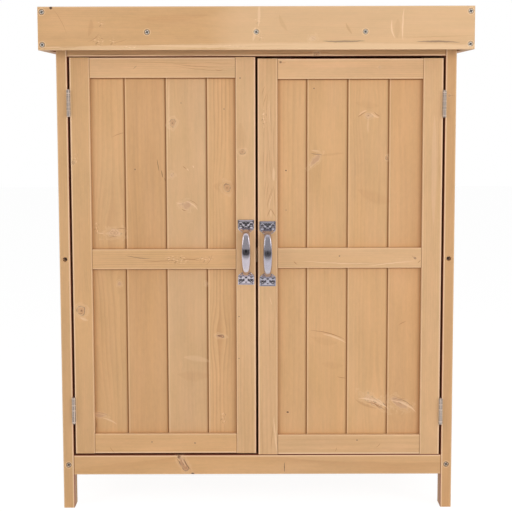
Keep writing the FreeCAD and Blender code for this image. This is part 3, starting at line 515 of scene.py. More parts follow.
# Knots: across the front, up, size across the grain, stretch along it, turn in degrees, kind
KNOTS = {
    "left_door_hinge_stile": [
        (-318.3, 615.4, 2.2, 1.2, 0, TIGHT), (-308.5, 355, 7.6, 1.0, 0, TIGHT),
    ],
    "left_door_free_stile": [
        (-28.3, 760, 1.2, 1, 0, PIN), (-25, 633, 5, 0.8, 0, TIGHT),
        (-31.6, 344.5, 1.2, 1, 0, PIN), (-31.9, 269.6, 1, 1, 0, PIN),
    ],
    "left_door_boards": [
        (-250, 491.5, 12, 0.5, 4, PALE), (-212, 602.6, 1.2, 1.2, 0, PIN),
        (-146, 682.5, 5.4, 1.2, 0, TIGHT), (-130.8, 717.5, 0.9, 1, 0, PIN),
        (-148.2, 592, 3.6, 1.2, 0, PALE), (-123.2, 539.5, 8, 0.75, 15, GREY),
        (-56.3, 707, 1.1, 1, 0, PIN), (-51.8, 570, 6.2, 1.2, 10, TIGHT),
        (-241.7, 401.4, 4, 1, 0, GREY), (-88.5, 401, 2.6, 1.2, 0, PALE),
        (-65.5, 308.3, 6.4, 0.5, -10, FIRM), (-281, 166, 11, 0.3, -8, GREY),
    ],
    "left_door_bottom_rail": [(-187, 119.5, 1, 1.2, 0, PIN), (-110.7, 117.5, 1.4, 1.4, 0, PIN)],
    "front_top_rail": [(103.2, 799.9, 4, 1.1, 0, TIGHT)],
    "front_bottom_rail": [(-131.7, 80.3, 5.2, 3.0, 62, FIRM), (-115, 62.2, 1, 2.6, 0, DEAD)],
    "right_door_top_rail": [(41.5, 787, 1.8, 1.2, 0, PIN), (212.8, 778, 1.4, 1.5, 0, PALE)],
    "right_door_boards": [
        (51.2, 600, 1.3, 1, 0, DEAD), (51.2, 531, 0.9, 1, 0, PIN),
        (99.6, 742, 1.3, 1, 0, PIN), (102.3, 617.5, 4.6, 2.1, -38, GREY),
        (194.1, 695.2, 6, 0.6, 0, PALE), (227, 621.5, 2.6, 1.4, 0, TIGHT),
        (208.9, 189.7, 6, 3, 62, PALE), (251, 187.5, 6.5, 2.4, 64, GREY),
        (53.8, 171, 2, 0.7, 0, DEAD),
    ],
    "right_door_middle_rail": [(144.5, 451, 1.1, 1.4, 0, PIN), (276.5, 447, 1.8, 1.5, 30, PIN)],
    "right_door_bottom_rail": [(177, 122, 1.2, 1.4, 0, PIN)],
    "front_right_post": [(333.1, 729, 1.7, 1, 0, TIGHT)],
    "roof_front_board": [(-346.9, 878, 2.4, 1, 0, DEAD), (96, 826, 4, 1.2, 0, PALE)],
}

# Lines: across the front, up, length, width, turn in degrees, bow, ink, strength
LINES = {
    "left_door_top_rail": [
        (-209, 779, 9, 0.7, 45, 0, "knot_dark_and_shade", 0.4), (-64, 773.5, 16, 0.6, 0, 1.6, "late", 0.8),
        (-150, 786, 150, 0.8, -1.5, 1.5, "late", 0.45), (-100, 780, 90, 1.0, -4, 2, "late", 0.5),
        (-96, 775, 100, 0.8, -5, 2, "late", 0.45), (-66, 785, 60, 0.8, -3, 2, "late", 0.4),
    ],
    "left_door_middle_rail": [
        (-208, 449, 46, 0.8, -7, 1.2, "knot_dark_and_shade", 0.55),
        (-170, 442.5, 60, 0.7, 2, 1.6, "late", 0.8),
        (-118, 446, 40, 0.7, 0, -4, "late", 0.8), (-112, 446, 28, 0.6, 0, 3, "late", 0.8),
        (-82, 444, 22, 0.6, 60, 2, "late", 0.8),
    ],
    "left_door_boards": [
        (-171.8, 610, 22, 0.9, 8, 0, "knot_dark_and_shade", 0.6),
        (-165, 594.6, 14, 0.9, 12, 0, "knot_dark_and_shade", 0.7),
        (-160, 585, 7, 0.8, 10, 0, "knot_dark_and_shade", 0.6), (-240, 664, 26, 0.7, -70, 1.5, "late", 0.7),
        (-125.9, 605.5, 8, 0.9, 48, 0.6, "late", 0.9), (-119.9, 602.3, 5, 0.8, 35, 0, "worn_and_painted_light", 0.9),
        (-110.6, 607.2, 5, 0.9, 20, 0, "worn_and_painted_light", 0.9), (-127.4, 530.7, 9, 0.9, 70, 1.5, "late", 0.95),
        (-111.6, 541.2, 26, 1.9, 52, -3, "worn_and_painted_light", 0.5), (-110, 545.5, 22, 0.8, 56, -2, "late", 0.7),
        (-136.1, 543, 12, 1.3, 80, 1, "worn_and_painted_light", 0.45), (-236, 499.5, 22, 0.8, 84, -1, "late", 0.8),
        (-252, 485, 16, 0.7, 100, -1, "late", 0.7), (-274, 491, 12, 1.2, 80, 0, "worn_and_painted_light", 0.5),
        (-286, 150, 16, 0.8, 0, 0, "knot_dark_and_shade", 0.5),
        (-112, 236, 60, 12, 88, 3, "late", 0.12), (-106, 268, 50, 7, 80, -2, "worn_and_painted_light", 0.2),
        (-65.5, 308.3, 9, 1.0, 84, 0, "knot_dark_and_shade", 0.8),
        (-262, 157, 30, 2.0, 66, -2, "worn_and_painted_light", 0.45), (-276, 170, 34, 1.0, 76, -2, "knot_brown", 0.8),
        (-152, 705, 120, 2, 0, 1, "worn_and_painted_light", 0.35), (-52, 571, 50, 17, 84, 0, "late", 0.16),
    ],
    "left_door_bottom_rail": [(-258, 105, 14, 0.6, -50, 1, "late", 0.8)],
    "front_bottom_rail": [
        (48.3, 73, 19, 0.8, 90, 0, "knot_dark_and_shade", 0.85),
        (-126.5, 79, 26, 1.2, -62, 2, "knot_rim", 0.8),
        (-138, 82, 20, 0.9, -62, -2, "knot_rim", 0.6), (-131, 82, 18, 2.0, -62, 0, "worn_and_painted_light", 0.5),
    ],
    "front_top_rail": [
        (-230, 801, 120, 0.8, 0.5, 0.5, "joint_stain_and_shade", 0.6),
        (-90, 798, 160, 0.7, -0.5, 0.5, "joint_stain_and_shade", 0.6),
        (60, 802, 140, 0.8, 0.4, 0.5, "joint_stain_and_shade", 0.6), (200, 799, 150, 0.7, -0.3, 0.5, "joint_stain_and_shade", 0.6),
    ],
    "right_door_free_stile": [
        (11.1, 738, 20, 0.8, -18, 1, "late", 0.55), (14, 722, 26, 0.8, -14, 1, "late", 0.5),
        (18, 716, 50, 0.6, -4, 1, "late", 0.5), (22, 700, 46, 0.7, 3, 1.2, "worn_and_painted_light", 0.5),
        (25, 690, 60, 0.6, 2, 1, "late", 0.4), (13, 668, 50, 0.6, -3, 0.8, "late", 0.45),
        (20, 655, 56, 0.6, 1.5, -1, "late", 0.4), (29, 650, 60, 0.7, -1, 0.8, "late", 0.4),
        (12, 622, 52, 0.7, -2, 0.8, "late", 0.5), (17, 610, 46, 0.7, -3, 0.6, "late", 0.55),
        (22.5, 622, 44, 0.7, 2, -0.6, "late", 0.5), (29.5, 594, 26, 3.0, 0, 0.8, "worn_and_painted_light", 0.4),
        (25, 603, 40, 0.6, 0, 0.8, "late", 0.5), (34.5, 606, 60, 0.7, 0, 0.6, "late", 0.35),
        (21.3, 552, 40, 0.8, -14, 1.2, "late", 0.55), (24.8, 556, 36, 0.7, -12, 1, "late", 0.5),
        (18.4, 566, 36, 0.7, -9, 1, "late", 0.5), (14.6, 570, 44, 0.7, -5, 0.8, "late", 0.45),
        (23.4, 548, 30, 0.8, -13, 1, "worn_and_painted_light", 0.6), (31, 555, 44, 0.7, 3, -1, "late", 0.5),
        (21.1, 527.5, 17, 1, -24, 0.6, "late", 0.65), (28.4, 527.5, 17, 1, 30, -0.6, "late", 0.65),
        (24.8, 526, 14, 1.6, 3, 0, "worn_and_painted_light", 0.45), (14, 500, 60, 0.6, 1, 0.6, "late", 0.3),
        (34, 380, 90, 0.6, 1, 1.2, "late", 0.4), (30, 330, 80, 0.6, -2, -1.4, "late", 0.4),
        (24, 372, 16, 0.8, 14, 0.6, "worn_and_painted_light", 0.5), (22, 300, 70, 0.6, 1.5, 1, "late", 0.35),
        (31, 135, 70, 1.6, 4, 1, "worn_and_painted_light", 0.6), (26, 130, 50, 0.8, -6, 1, "late", 0.5),
        (36, 120, 44, 0.8, 3, 1, "late", 0.5),
    ],
    "right_door_top_rail": [(47, 786, 8, 0.5, 0, 0.5, "late", 0.8)],
    "right_door_hinge_stile": [
        (308, 600, 200, 7, 0, 0, "knot_pink", 0.35), (316, 640, 150, 0.8, 1, 1, "late", 0.4),
    ],
    "left_door_free_stile": [(-28, 655, 60, 12, 0, 0, "late", 0.14)],
    "left_door_hinge_stile": [
        (-307.5, 356, 5, 1.8, 40, 0, "knot_rim", 0.7), (-310, 350, 9, 1.0, 100, 2, "knot_rim", 0.6),
        (-304, 340, 16, 3.0, 70, 2, "worn_and_painted_light", 0.4),
    ],
    "right_door_boards": [
        (126, 313, 68, 1.0, 75, -4, "late", 0.8), (137, 306, 46, 2.2, 69, -3, "worn_and_painted_light", 0.5),
        (118, 298, 50, 9, 76, 3, "late", 0.12), (133, 255, 40, 9, 84, 2, "late", 0.1),
        (150, 233, 18, 0.8, 80, 1, "late", 0.8), (104, 628.2, 21, 0.9, 84, 0.8, "knot_rim", 0.75),
        (103, 633.9, 16, 1.9, 84, 0.8, "worn_and_painted_light", 0.4), (183, 697.6, 18, 1.2, -61, 0.6, "late", 0.8),
        (209, 697, 14, 1.1, 56, 0.6, "late", 0.8), (184, 701, 18, 2.0, -61, 1, "worn_and_painted_light", 0.45),
        (205, 694.5, 18, 2.2, 62, 1, "worn_and_painted_light", 0.45), (193.3, 679, 30, 2.2, 0, 0.6, "worn_and_painted_light", 0.25),
        (208, 191, 60, 2.6, 70, -6, "worn_and_painted_light", 0.62), (219, 190, 30, 1.6, 52, -2, "worn_and_painted_light", 0.5),
        (212, 184, 40, 1.0, 66, -4, "late", 0.9), (226, 184.3, 12, 0.9, 45, 0.5, "knot_rim", 0.7),
        (262, 185, 52, 2.6, 64, -5, "worn_and_painted_light", 0.6), (260, 191, 44, 0.9, 66, -5, "knot_rim", 0.6),
        (213, 182, 16, 0.9, 48, 0.5, "late", 0.9), (253, 187, 8, 0.8, 60, 0, "knot_rim", 0.5),
        (193, 183, 44, 3.4, 68, 3, "late", 0.3), (252, 196, 30, 0.8, 74, 2, "late", 0.6),
        (256, 331, 16, 0.8, -62, 1, "late", 0.8), (192, 713, 44, 8, 82, 2, "late", 0.1),
        (205, 553, 64, 14, 70, 3, "late", 0.12), (130, 628, 50, 3, 96, 0, "late", 0.16),
    ],
    "right_door_middle_rail": [
        (190, 436.5, 60, 0.6, 1, 0.8, "late", 0.5), (150, 438, 150, 0.9, -2, 1.5, "worn_and_painted_light", 0.6),
        (235, 438, 90, 1.0, 6, -1, "worn_and_painted_light", 0.6), (67, 439, 9, 0.9, -45, 1, "late", 0.9),
        (275, 448, 12, 1.2, -30, 1, "knot_brown", 0.8), (284, 441, 8, 0.8, 50, 0, "late", 0.8),
    ],
    "right_door_bottom_rail": [
        (140, 105, 9, 0.6, 70, 0, "late", 0.8), (215, 112, 12, 0.6, 45, 1, "late", 0.8),
    ],
    "front_right_post": [(338, 729, 7, 0.5, 90, 0, "late", 0.7)],
    "roof_front_board": [
        (148, 820.5, 76, 2.2, 0, 0.8, "knot_dark_and_shade", 0.8),
        (308, 820, 78, 2.4, -1, -0.6, "knot_rim", 0.9),
        (308, 820, 44, 1.4, -1, -0.6, "knot_dark_and_shade", 0.7), (-330, 856, 50, 0.6, -62, -3, "late", 0.5),
        (-275, 826, 26, 0.6, 35, 2, "late", 0.7), (-232, 821, 30, 0.6, 15, 1, "late", 0.6),
        (5, 866, 44, 3.4, 88, 1.5, "worn_and_painted_light", 0.45), (-3, 833, 26, 3.0, 80, 1, "worn_and_painted_light", 0.4),
        (229.4, 841, 34, 1.8, -80, 3, "worn_and_painted_light", 0.7), (247.5, 849, 56, 1.8, 88, -2, "worn_and_painted_light", 0.7),
        (238.7, 842, 34, 7, 88, 0, "late", 0.28), (96, 826, 20, 0.6, -35, 1, "late", 0.5),
        # Pale bands along the bottom edge, painted highlight, and a broad pale wash over the right
        # end, painted light
        (120, 812.5, 640, 8, -0.3, 1, "worn_and_painted_light", 0.42), (-190, 811.5, 380, 5, 0.3, 1, "worn_and_painted_light", 0.42),
        (700, 845, 1600, 400, 0, 0, "worn_and_painted_light", 0.3),
        (-120, 816, 240, 0.7, 0.2, 1, "late", 0.35), (-30, 813, 200, 0.6, 0, 1, "late", 0.35),
        (-318, 812, 36, 0.8, 2, 0.5, "late", 0.6), (44, 851, 32, 5, -62, 2, "late", 0.15),
        (156, 842, 22, 3, -60, 1, "late", 0.3),
        (-280, 844, 30, 6, 80, 2, "late", 0.2), (-140, 860, 120, 9, 3, 2, "late", 0.14),
        (300, 828, 150, 0.7, 1, 1, "late", 0.4),
    ],
}

# Torn grain: across the front, up, size across the grain, stretch along it
FLECKS = {
    "roof_front_board": [
        (-268, 823, 12, 0.9), (-243, 822, 11, 0.6), (-262, 852, 8, 0.9), (-215, 812, 4, 4),
        (-40, 813, 3, 12), (4, 856, 9, 0.8), (8, 828, 10, 0.8),
    ],
    "left_door_boards": [(-280, 500, 6, 2), (-60, 160, 7, 2)],
    "left_door_hinge_stile": [(-314, 622, 6, 1.6)],
    "left_door_middle_rail": [(-140, 445, 9, 3), (-90, 446, 8, 2)],
    "right_door_free_stile": [(13, 690, 6, 3)],
}

# Face, rim, strength, rim strength, halo, roughness of outline and heart of each kind of knot
KNOT_KINDS = {
    PIN: ("knot_rim", "knot_dark_and_shade", 0.75, 0.35, 0.3, 0.5, 0.4),
    TIGHT: ("knot_brown", "knot_rim", 0.36, 0.8, 1.0, 0.8, 0.5),
    FIRM: ("knot_brown", "knot_rim", 0.75, 0.9, 1.0, 0.8, 0.5),
    PALE: ("knot_pink", "joint_stain_and_shade", 0.6, 0.36, 0.8, 1.5, 0.42),
    GREY: ("knot_grey", "knot_brown", 0.65, 0.4, 0.75, 1.3, 0.0),
    DEAD: ("knot_dark_and_shade", "knot_dark_and_shade", 0.95, 0.8, 0.4, 0.8, 0.0),
}

UPRIGHT = {"grain": "z", "face": "y"}
LEVEL = {"grain": "x", "face": "y"}
PITH_SPAN = 400
PITH_DEPTH = 40


def board_space(tree, grain, face):
    """Object coordinates as along the grain, across it, and through the board."""
    where = add(tree, "TexCoord").outputs["Object"]
    parts = dict(zip("xyz", split(tree, where)))
    return packed(tree, *[parts[axis] for axis in board_axes(grain, face)])


def board_axes(grain, face):
    """The axis along the grain, the one across it, and the one through the board."""
    return grain, next(axis for axis in "xyz" if axis not in (grain, face)), face


def edge_bands(name, axis, gaps=()):
    """Pale long edges of a piece, worn and painted highlights, and painted shade on the edges that
    face a gap.
    """
    number = "xyz".index(axis)
    low, high = (float(corner[number]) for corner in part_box(name))
    bands = []
    for edge, place, inwards in (("low", low, MM), ("high", high, -MM)):
        # An edge at a gap: a wide pale band, worn and painted highlight, and painted shade on its
        # side in the gap
        if edge in gaps:
            bands += [(axis, place + 1.1 * inwards, 2.6, "worn_and_painted_light", 0.85),
                      (axis, place, 1.2, "painted_gap_shade", 0.9)]
        else:
            # Any other long edge: a pale band, worn and painted highlight
            bands.append((axis, place + 0.6 * inwards, 1.8, "worn_and_painted_light", 0.5))
    return bands


def timber_material(name, grain, face, seed, tone="honey", light=1.0, figure=0.4, pith=60,
                    wander=6.0, boards=None, bands=(), heads=()):
    """Stained softwood for one piece, with the knots and lines that it shows.

    The pith lies PITH_DEPTH behind the face, in mm as all widths here. A board's
    pith travels as a part of PITH_SPAN, since a colour ramp holds only 0 to 1.
    boards gives the first joint, the cover, and the tone, light, figure and pith
    of each board of a boarded face. bands gives the axis that each band lies
    across, its place on it, its width in mm, its ink and its strength; they stay
    on the front of the piece. heads gives the screw heads that mark it.
    """
    timber = bpy.context.scene.timber
    material, tree, shader = new_material(name)
    space = board_space(tree, grain, face)
    knots = KNOTS.get(name, [])
    flow = space
    for side, up, size, _, _, kind in knots:
        if kind != PIN:
            flow = use(tree, "flow", Vector=flow, Place=in_board(grain, side, up),
                       Size=size * MM, Stretch=1.5)["Vector"]
    pale = lit(tone, light)
    number = seed
    pith = pith * MM
    if boards:
        first, pitch, traits = boards
        parts = use(tree, "boards", Vector=space, First=first, Pitch=pitch,
                    Last=float(len(traits) - 1))
        flow = shifted(tree, parts["Vector"], joined(tree, "SUBTRACT", flow, space))
        count = Signal(tree, parts["Number"])
        number = count * 2.3 + seed
        pale = striped(tree, count, [lit(*trait[:2]) for trait in traits])
        forms = [(figure, pith / PITH_SPAN + 0.5, 0) for _, _, figure, pith in traits]
        form = add(tree, "SeparateColor", Color=striped(tree, count, forms))
        figure = form.outputs[0]
        pith = (Signal(tree, form.outputs[1]) - 0.5) * (PITH_SPAN * MM)
    wood = use(tree, "softwood", Vector=flow, Seed=number, Ring=timber.ring, Fibre=timber.fibre,
               Pith=pith, Depth=PITH_DEPTH * MM, Wander=wander * MM, Figure=figure, Pale=pale,
               Late=timber.late)
    colour = wood["Color"]
    where = dict(zip(board_axes(grain, face), split(tree, space)))
    ahead = 1.0
    # Bands fade out 5 to 16 mm behind the front, so the painted shade lies only in the outer part
    # of a gap
    if bands:
        front = float(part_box(name)[0][1])
        ahead = 1.0 - where["y"].rise(front + 5.0 * MM, front + 16.0 * MM)
    lines = [(where[axis] - place, width, ink, ahead * strength)
             for axis, place, width, ink, strength in bands]
    # Round each screw head: a dark ring of painted shadow where the countersink lies, and a pale
    # ring beyond it
    for side, up, radius in heads:
        far = ((where["x"] - side) ** 2.0 + (where["z"] - up) ** 2.0).root() - radius
        lines += [(far - 1.7 * MM, 1.3, "worn_and_painted_light", 0.5), (far - 0.4 * MM, 1.1, "knot_dark_and_shade", 0.6)]
    # Board grooves: painted shade on the left bevel, painted highlight on the right bevel, and the
    # dark joint itself
    if boards:
        edge = Signal(tree, parts["Edge"])
        lines += [(edge + 1.1 * MM, 3.2, "joint_stain_and_shade", 0.3), (edge - 2.6 * MM, 1.4, "worn_and_painted_light", 0.4),
                  (edge, 1.7, "joint_stain_and_shade", 0.6)]
    for distance, width, ink, strength in lines:
        colour = use(tree, "band", Color=colour, Distance=distance, Width=width * MM,
                     Ink=getattr(timber, ink), Strength=strength)["Color"]

    def marked(kind, side, up, **shape):
        """The colour so far with one more mark on it."""
        return use(tree, kind, Vector=space, Color=colour, Place=in_board(grain, side, up),
                   **shape)["Color"]

    for side, up, size, stretch, turn, kind in knots:
        inner, rim, strength, rim_strength, halo, rough, heart = KNOT_KINDS[kind]
        colour = marked(
            "knot", side, up, Size=size * MM, Stretch=stretch, Turn=math.radians(turn),
            Face=getattr(timber, inner), Rim=getattr(timber, rim), Strength=strength,
            Rim_Strength=rim_strength, Halo=halo, Halo_Color=timber.halo, Rough=rough, Heart=heart)
    for side, up, size, stretch in FLECKS.get(name, []):
        colour = marked("fleck", side, up, Size=size * MM, Stretch=stretch, Pale=timber.worn_and_painted_light,
                        Ink=timber.joint_stain_and_shade)
    lean = -1 if grain == "x" else 1
    for side, up, length, width, turn, bend, ink, strength in LINES.get(name, []):
        colour = marked(
            "line", side, up, Length=length * MM, Width=width * MM,
            Turn=math.radians(lean * turn), Bow=bend * MM, Ink=getattr(timber, ink),
            Strength=strength)
    feed(tree, shader.inputs["Base Color"], colour)
    feed(tree, shader.inputs["Roughness"],
         (Signal(tree, wood["Roughness"]) + timber.roughness).math("MINIMUM", 1.0))
    shader.inputs["Specular IOR Level"].default_value = 0.35
    raised(tree, shader, 0.35, 0.3 * MM, wood["Height"])
    return material


def lit(tone, light):
    """A tone of the timber, lighter or darker by a factor."""
    return tuple(part * light for part in getattr(bpy.context.scene.timber, tone))


def in_board(grain, side, up):
    """A place on the front, as board space has it."""
    if grain == "x":
        return (side * MM, up * MM, 0.0)
    return (up * MM, side * MM, 0.0)


def striped(tree, count, colours):
    """The colour of each board, by its number."""
    ramp = add(tree, "ValToRGB")
    ramp.color_ramp.interpolation = "CONSTANT"
    stops = ramp.color_ramp.elements
    while len(stops) < len(colours):
        stops.new(0.5)
    for number, colour in enumerate(colours):
        stops[number].position = number / len(colours)
        stops[number].color = (*colour, 1.0)
    feed(tree, ramp.inputs[0], (count + 0.5) / float(len(colours)))
    return ramp.outputs[0]


def dress(material, *names):
    """Gives CAD nodes a material, in every slot."""
    for name in names:
        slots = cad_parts[name].data.materials
        slots.clear()
        slots.append(material)


# Surfaces

def placed(name, data):
    """A new object in the scene."""
    made = bpy.data.objects.new(name, data)
    bpy.context.scene.collection.objects.link(made)
    return made


def new_object(name, points, faces, material):
    """A new mesh in the scene, all of one material."""
    mesh = bpy.data.meshes.new(name)
    mesh.from_pydata(points, [], faces)
    mesh.materials.append(material)
    return placed(name, mesh)


def new_piece(name, surfaces, body, material, node=None, smooth=True):
    """One mesh of closed grids, faces out, that rides on a body and may stand for a CAD node."""
    points, faces = [], []
    start = 0
    for surface in surfaces:
        rows, columns = surface.shape[:2]
        last = start + (rows - 1) * columns
        faces += grid_faces(rows, columns, start).tolist()
        faces += [list(range(start, start + columns))[::-1], list(range(last, last + columns))]
        points.append(surface.reshape(-1, 3))
        start += rows * columns
    piece = new_object(name, np.concatenate(points).tolist(), faces, material)
    mesh = piece.data
    mesh.polygons.foreach_set("use_smooth", [smooth and len(face) == 4 for face in faces])
    work = bmesh.new()
    work.from_mesh(mesh)
    bmesh.ops.recalc_face_normals(work, faces=work.faces)
    work.to_mesh(mesh)
    work.free()
    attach(piece, body)
    if node:
        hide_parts(node)
    return piece


def grid_faces(rows, columns, start):
    """Quads of a grid whose columns close on themselves, its points counted from start."""
    row, column = np.meshgrid(np.arange(rows - 1), np.arange(columns), indexing="ij")
    ahead = (column + 1) % columns
    corners = (row * columns + column, row * columns + ahead,
               (row + 1) * columns + ahead, (row + 1) * columns + column)
    return start + np.stack(corners, axis=-1).reshape(-1, 4)


def loose_parts(node):
    """The solids of a CAD node, each as an array of its points.

    Points in one place are made one, and each face hands its lowest label to
    its corners until no label changes.
    """
    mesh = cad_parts[node].data
    points = np.empty(len(mesh.vertices) * 3)
    mesh.vertices.foreach_get("co", points)
    points = points.reshape(-1, 3)
    mesh.calc_loop_triangles()
    faces = np.empty(len(mesh.loop_triangles) * 3, dtype=int)
    mesh.loop_triangles.foreach_get("vertices", faces)
    near = 2e-6
    unique, index = np.unique(np.round(points / near).astype(int), axis=0, return_inverse=True)
    faces = index.reshape(-1)[faces].reshape(-1, 3)
    labels = np.arange(len(unique))
    while True:
        lowest = labels[faces].min(axis=1)
        before = labels.copy()
        np.minimum.at(labels, faces.ravel(), np.repeat(lowest, 3))
        if (labels == before).all():
            break
    return [unique[labels == label] * near for label in np.unique(labels)]


def screw_places(node):
    """Head centre, axis, direction inwards, length and head radius of a node's screws."""
    for points in loose_parts(node):
        low, high = points.min(axis=0), points.max(axis=0)
        axis = int(np.argmax(high - low))
        centre = (low + high) / 2
        flat = np.delete(points - centre, axis, axis=1)
        widest = points[np.argmax(np.linalg.norm(flat, axis=1)), axis]
        inwards = 1.0 if widest < centre[axis] else -1.0
        centre[axis] = low[axis] if inwards > 0 else high[axis]
        radius = np.linalg.norm(flat, axis=1).max()
        yield centre, axis, inwards, float(high[axis] - low[axis]), float(radius)


def flush_heads(name, node):
    """Place and radius of a node's screw heads that lie in the front of a piece."""
    reach = 5 * MM
    low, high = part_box(name)
    return [(float(centre[0]), float(centre[2]), radius)
            for centre, _, _, _, radius in screw_places(node)
            if low[0] < centre[0] < high[0] and low[2] < centre[2] < high[2]
            and centre[1] < low[1] + reach]


def screw_surface(centre, axis, inwards, length, radius, turn):
    """One countersunk screw with a cross recess, as a grid from face to tip.

    A profile of radii and depths is turned about the screw's axis. On the face,
    the depth also grows inside either arm of a cross. The second array is painted
    shade: how dark each point is made in the cross and round the head's edge,
    where shade falls. All sizes but the length go by the head's radius.
    """
    hardware = bpy.context.scene.hardware
    columns = 48
    tip, shank, point = 0.02, 0.5, 0.3
    crown, edge, neck = 0.16, 0.25, 0.66
    face = np.linspace(tip, 0.94, 13)
    radii = np.concatenate((face, (1.0, 1.0, shank, shank, tip))) * radius
    depths = np.concatenate((crown * face ** 2, (crown, edge, neck, 0.0, 0.0))) * radius
    depths[-2:] = length - radius * point, length
    angle = np.linspace(0, math.tau, columns, endpoint=False)
    one = radii[:, None] * np.cos(angle)
    two = radii[:, None] * np.sin(angle)
    arm, web = hardware.recess_arm * radius, hardware.recess_web * radius
    inside = np.maximum(
        edge_fall(np.abs(one), arm, radius) * edge_fall(np.abs(two), web, radius),
        edge_fall(np.abs(two), arm, radius) * edge_fall(np.abs(one), web, radius),
    )
    inside[len(face):] = 0
    points = np.empty((len(radii), columns, 3))
    others = [each for each in range(3) if each != axis]
    down = depths[:, None] + inside * hardware.recess_depth * radius
    points[..., axis] = centre[axis] + inwards * down
    points[..., others[0]] = centre[others[0]] + one * math.cos(turn) - two * math.sin(turn)
    points[..., others[1]] = centre[others[1]] + one * math.sin(turn) + two * math.cos(turn)
    # Painted shade round the edge of the head, where the countersink lies
    rim = ramp(radii / radius, 0.8, 0.12)[:, None] * 0.5
    return points, np.maximum(inside, rim)


def ramp(value, start, span):
    """0 up to the start, 1 from a span past it, and a straight slope between."""
    return np.clip((value - start) / span, 0, 1)


def edge_fall(distance, limit, radius):
    """1 inside the limit, 0 past it, and between them a slope over a part of the radius."""
    slope = 0.07 * radius
    return np.clip((limit - distance) / slope + 0.5, 0, 1)


def screws(node, body, material):
    """All the screws of a CAD node as one piece, their crosses turned as they come."""
    surfaces, dirt = zip(*(screw_surface(*place, turn=0.75 + 0.4 * math.sin(5 * number))
                           for number, place in enumerate(screw_places(node))))
    piece = new_piece(node + "_detail", surfaces, body, material, node, False)
    # Painted shade in each cross recess and round each head, kept on the points
    layer = piece.data.attributes.new("dirt", "FLOAT", "POINT")
    layer.data.foreach_set("value", np.concatenate(dirt).ravel())
    return piece


def rounded_box(low, high, radius):
    """A box with round edges, as a grid from its underside to its top.

    Each point is a direction of a ball, times the radius, set out from the ball's
    middle by the box's half sizes less the radius, to the side it points to.
    """
    low, high = np.array(low), np.array(high)
    rows, columns, steepest = 12, 32, math.pi / 2 - 0.02
    rise = np.linspace(-steepest, steepest, rows)[:, None]
    turn = np.linspace(0, math.tau, columns, endpoint=False) + math.pi / columns
    ball = np.stack((np.cos(rise) * np.cos(turn), np.cos(rise) * np.sin(turn),
                     np.sin(rise) * np.ones_like(turn)), axis=-1)
    return (low + high) / 2 + np.sign(ball) * ((high - low) / 2 - radius) + ball * radius


def catches(plastic, steel):
    """The magnetic catches: a moulded case each, and two steel poles in its front."""
    cases, poles = [], []
    proud, case_edge, pole_edge = 1.2 * MM, 1.6 * MM, 0.3 * MM
    margin, spread, half = 7 * MM, 3.2 * MM, 1.0 * MM
    for points in loose_parts("magnetic_catches"):
        low, high = points.min(axis=0), points.max(axis=0)
        cases.append(rounded_box(low + (0, proud, 0), high, case_edge))
        middle = (low + high) / 2
        for up in (-spread, spread):
            near = (low[0] + margin, low[1], middle[2] + up - half)
            far = (high[0] - margin, middle[1], middle[2] + up + half)
            poles.append(rounded_box(near, far, pole_edge))
    new_piece("magnetic_catches_case", cases, "cabinet", plastic,
              "magnetic_catches")
    new_piece("magnetic_catches_poles", poles, "cabinet", steel)


def metal_material(name, colour, roughness, wear=0.06, scale=900.0, share=1.0, seams=()):
    """Plated metal, a little uneven in gloss. A share below 1 is the duller, paler plating.

    A screw's attribute darkens it with painted shade, in its recess and round its head.
    seams gives distances from the middle of the cabinet, in metres, where a dark
    broken line of painted shade runs up the metal, along the hinge barrels.
    """
    material, tree, shader = new_material(name)
    where = add(tree, "TexCoord").outputs["Object"]
    uneven = noise(tree, where, scale, 3.0)
    # Painted shade from a screw's attribute, and from the seams below
    dirt = Signal(tree, add(tree, "Attribute", {"attribute_name": "dirt"}).outputs["Fac"])
    side, _, up = split(tree, where)
    broken = noise(tree, packed(tree, 0.0, 0.0, up), 330.0, 1.0).rise(-0.2, 0.05)
    for place, width, strength in seams:
        near = 1.0 - ((side.math("ABSOLUTE") - place).math("ABSOLUTE") / width).rise(0.3, 1.0)
        dirt = dirt.math("MAXIMUM", near * broken * strength)
    tint = (1.0 + uneven * 0.12) * (1.0 - dirt * 0.85)
    feed(tree, shader.inputs["Base Color"], tinted(tree, colour, tint, tint, tint))
    feed(tree, shader.inputs["Roughness"], uneven * wear + roughness)
    shader.inputs["Metallic"].default_value = share
    return material


def bow(share):
    """Reach and rise of the bow handle's line, from the upper foot to the lower.

    Close to a half ellipse: the rise is the cosine of the half turn, and the
    reach a power of its sine, so that the line bows more in its middle.
    """
    middling = 1.25
    return np.sin(np.pi * share) ** middling, np.cos(np.pi * share)


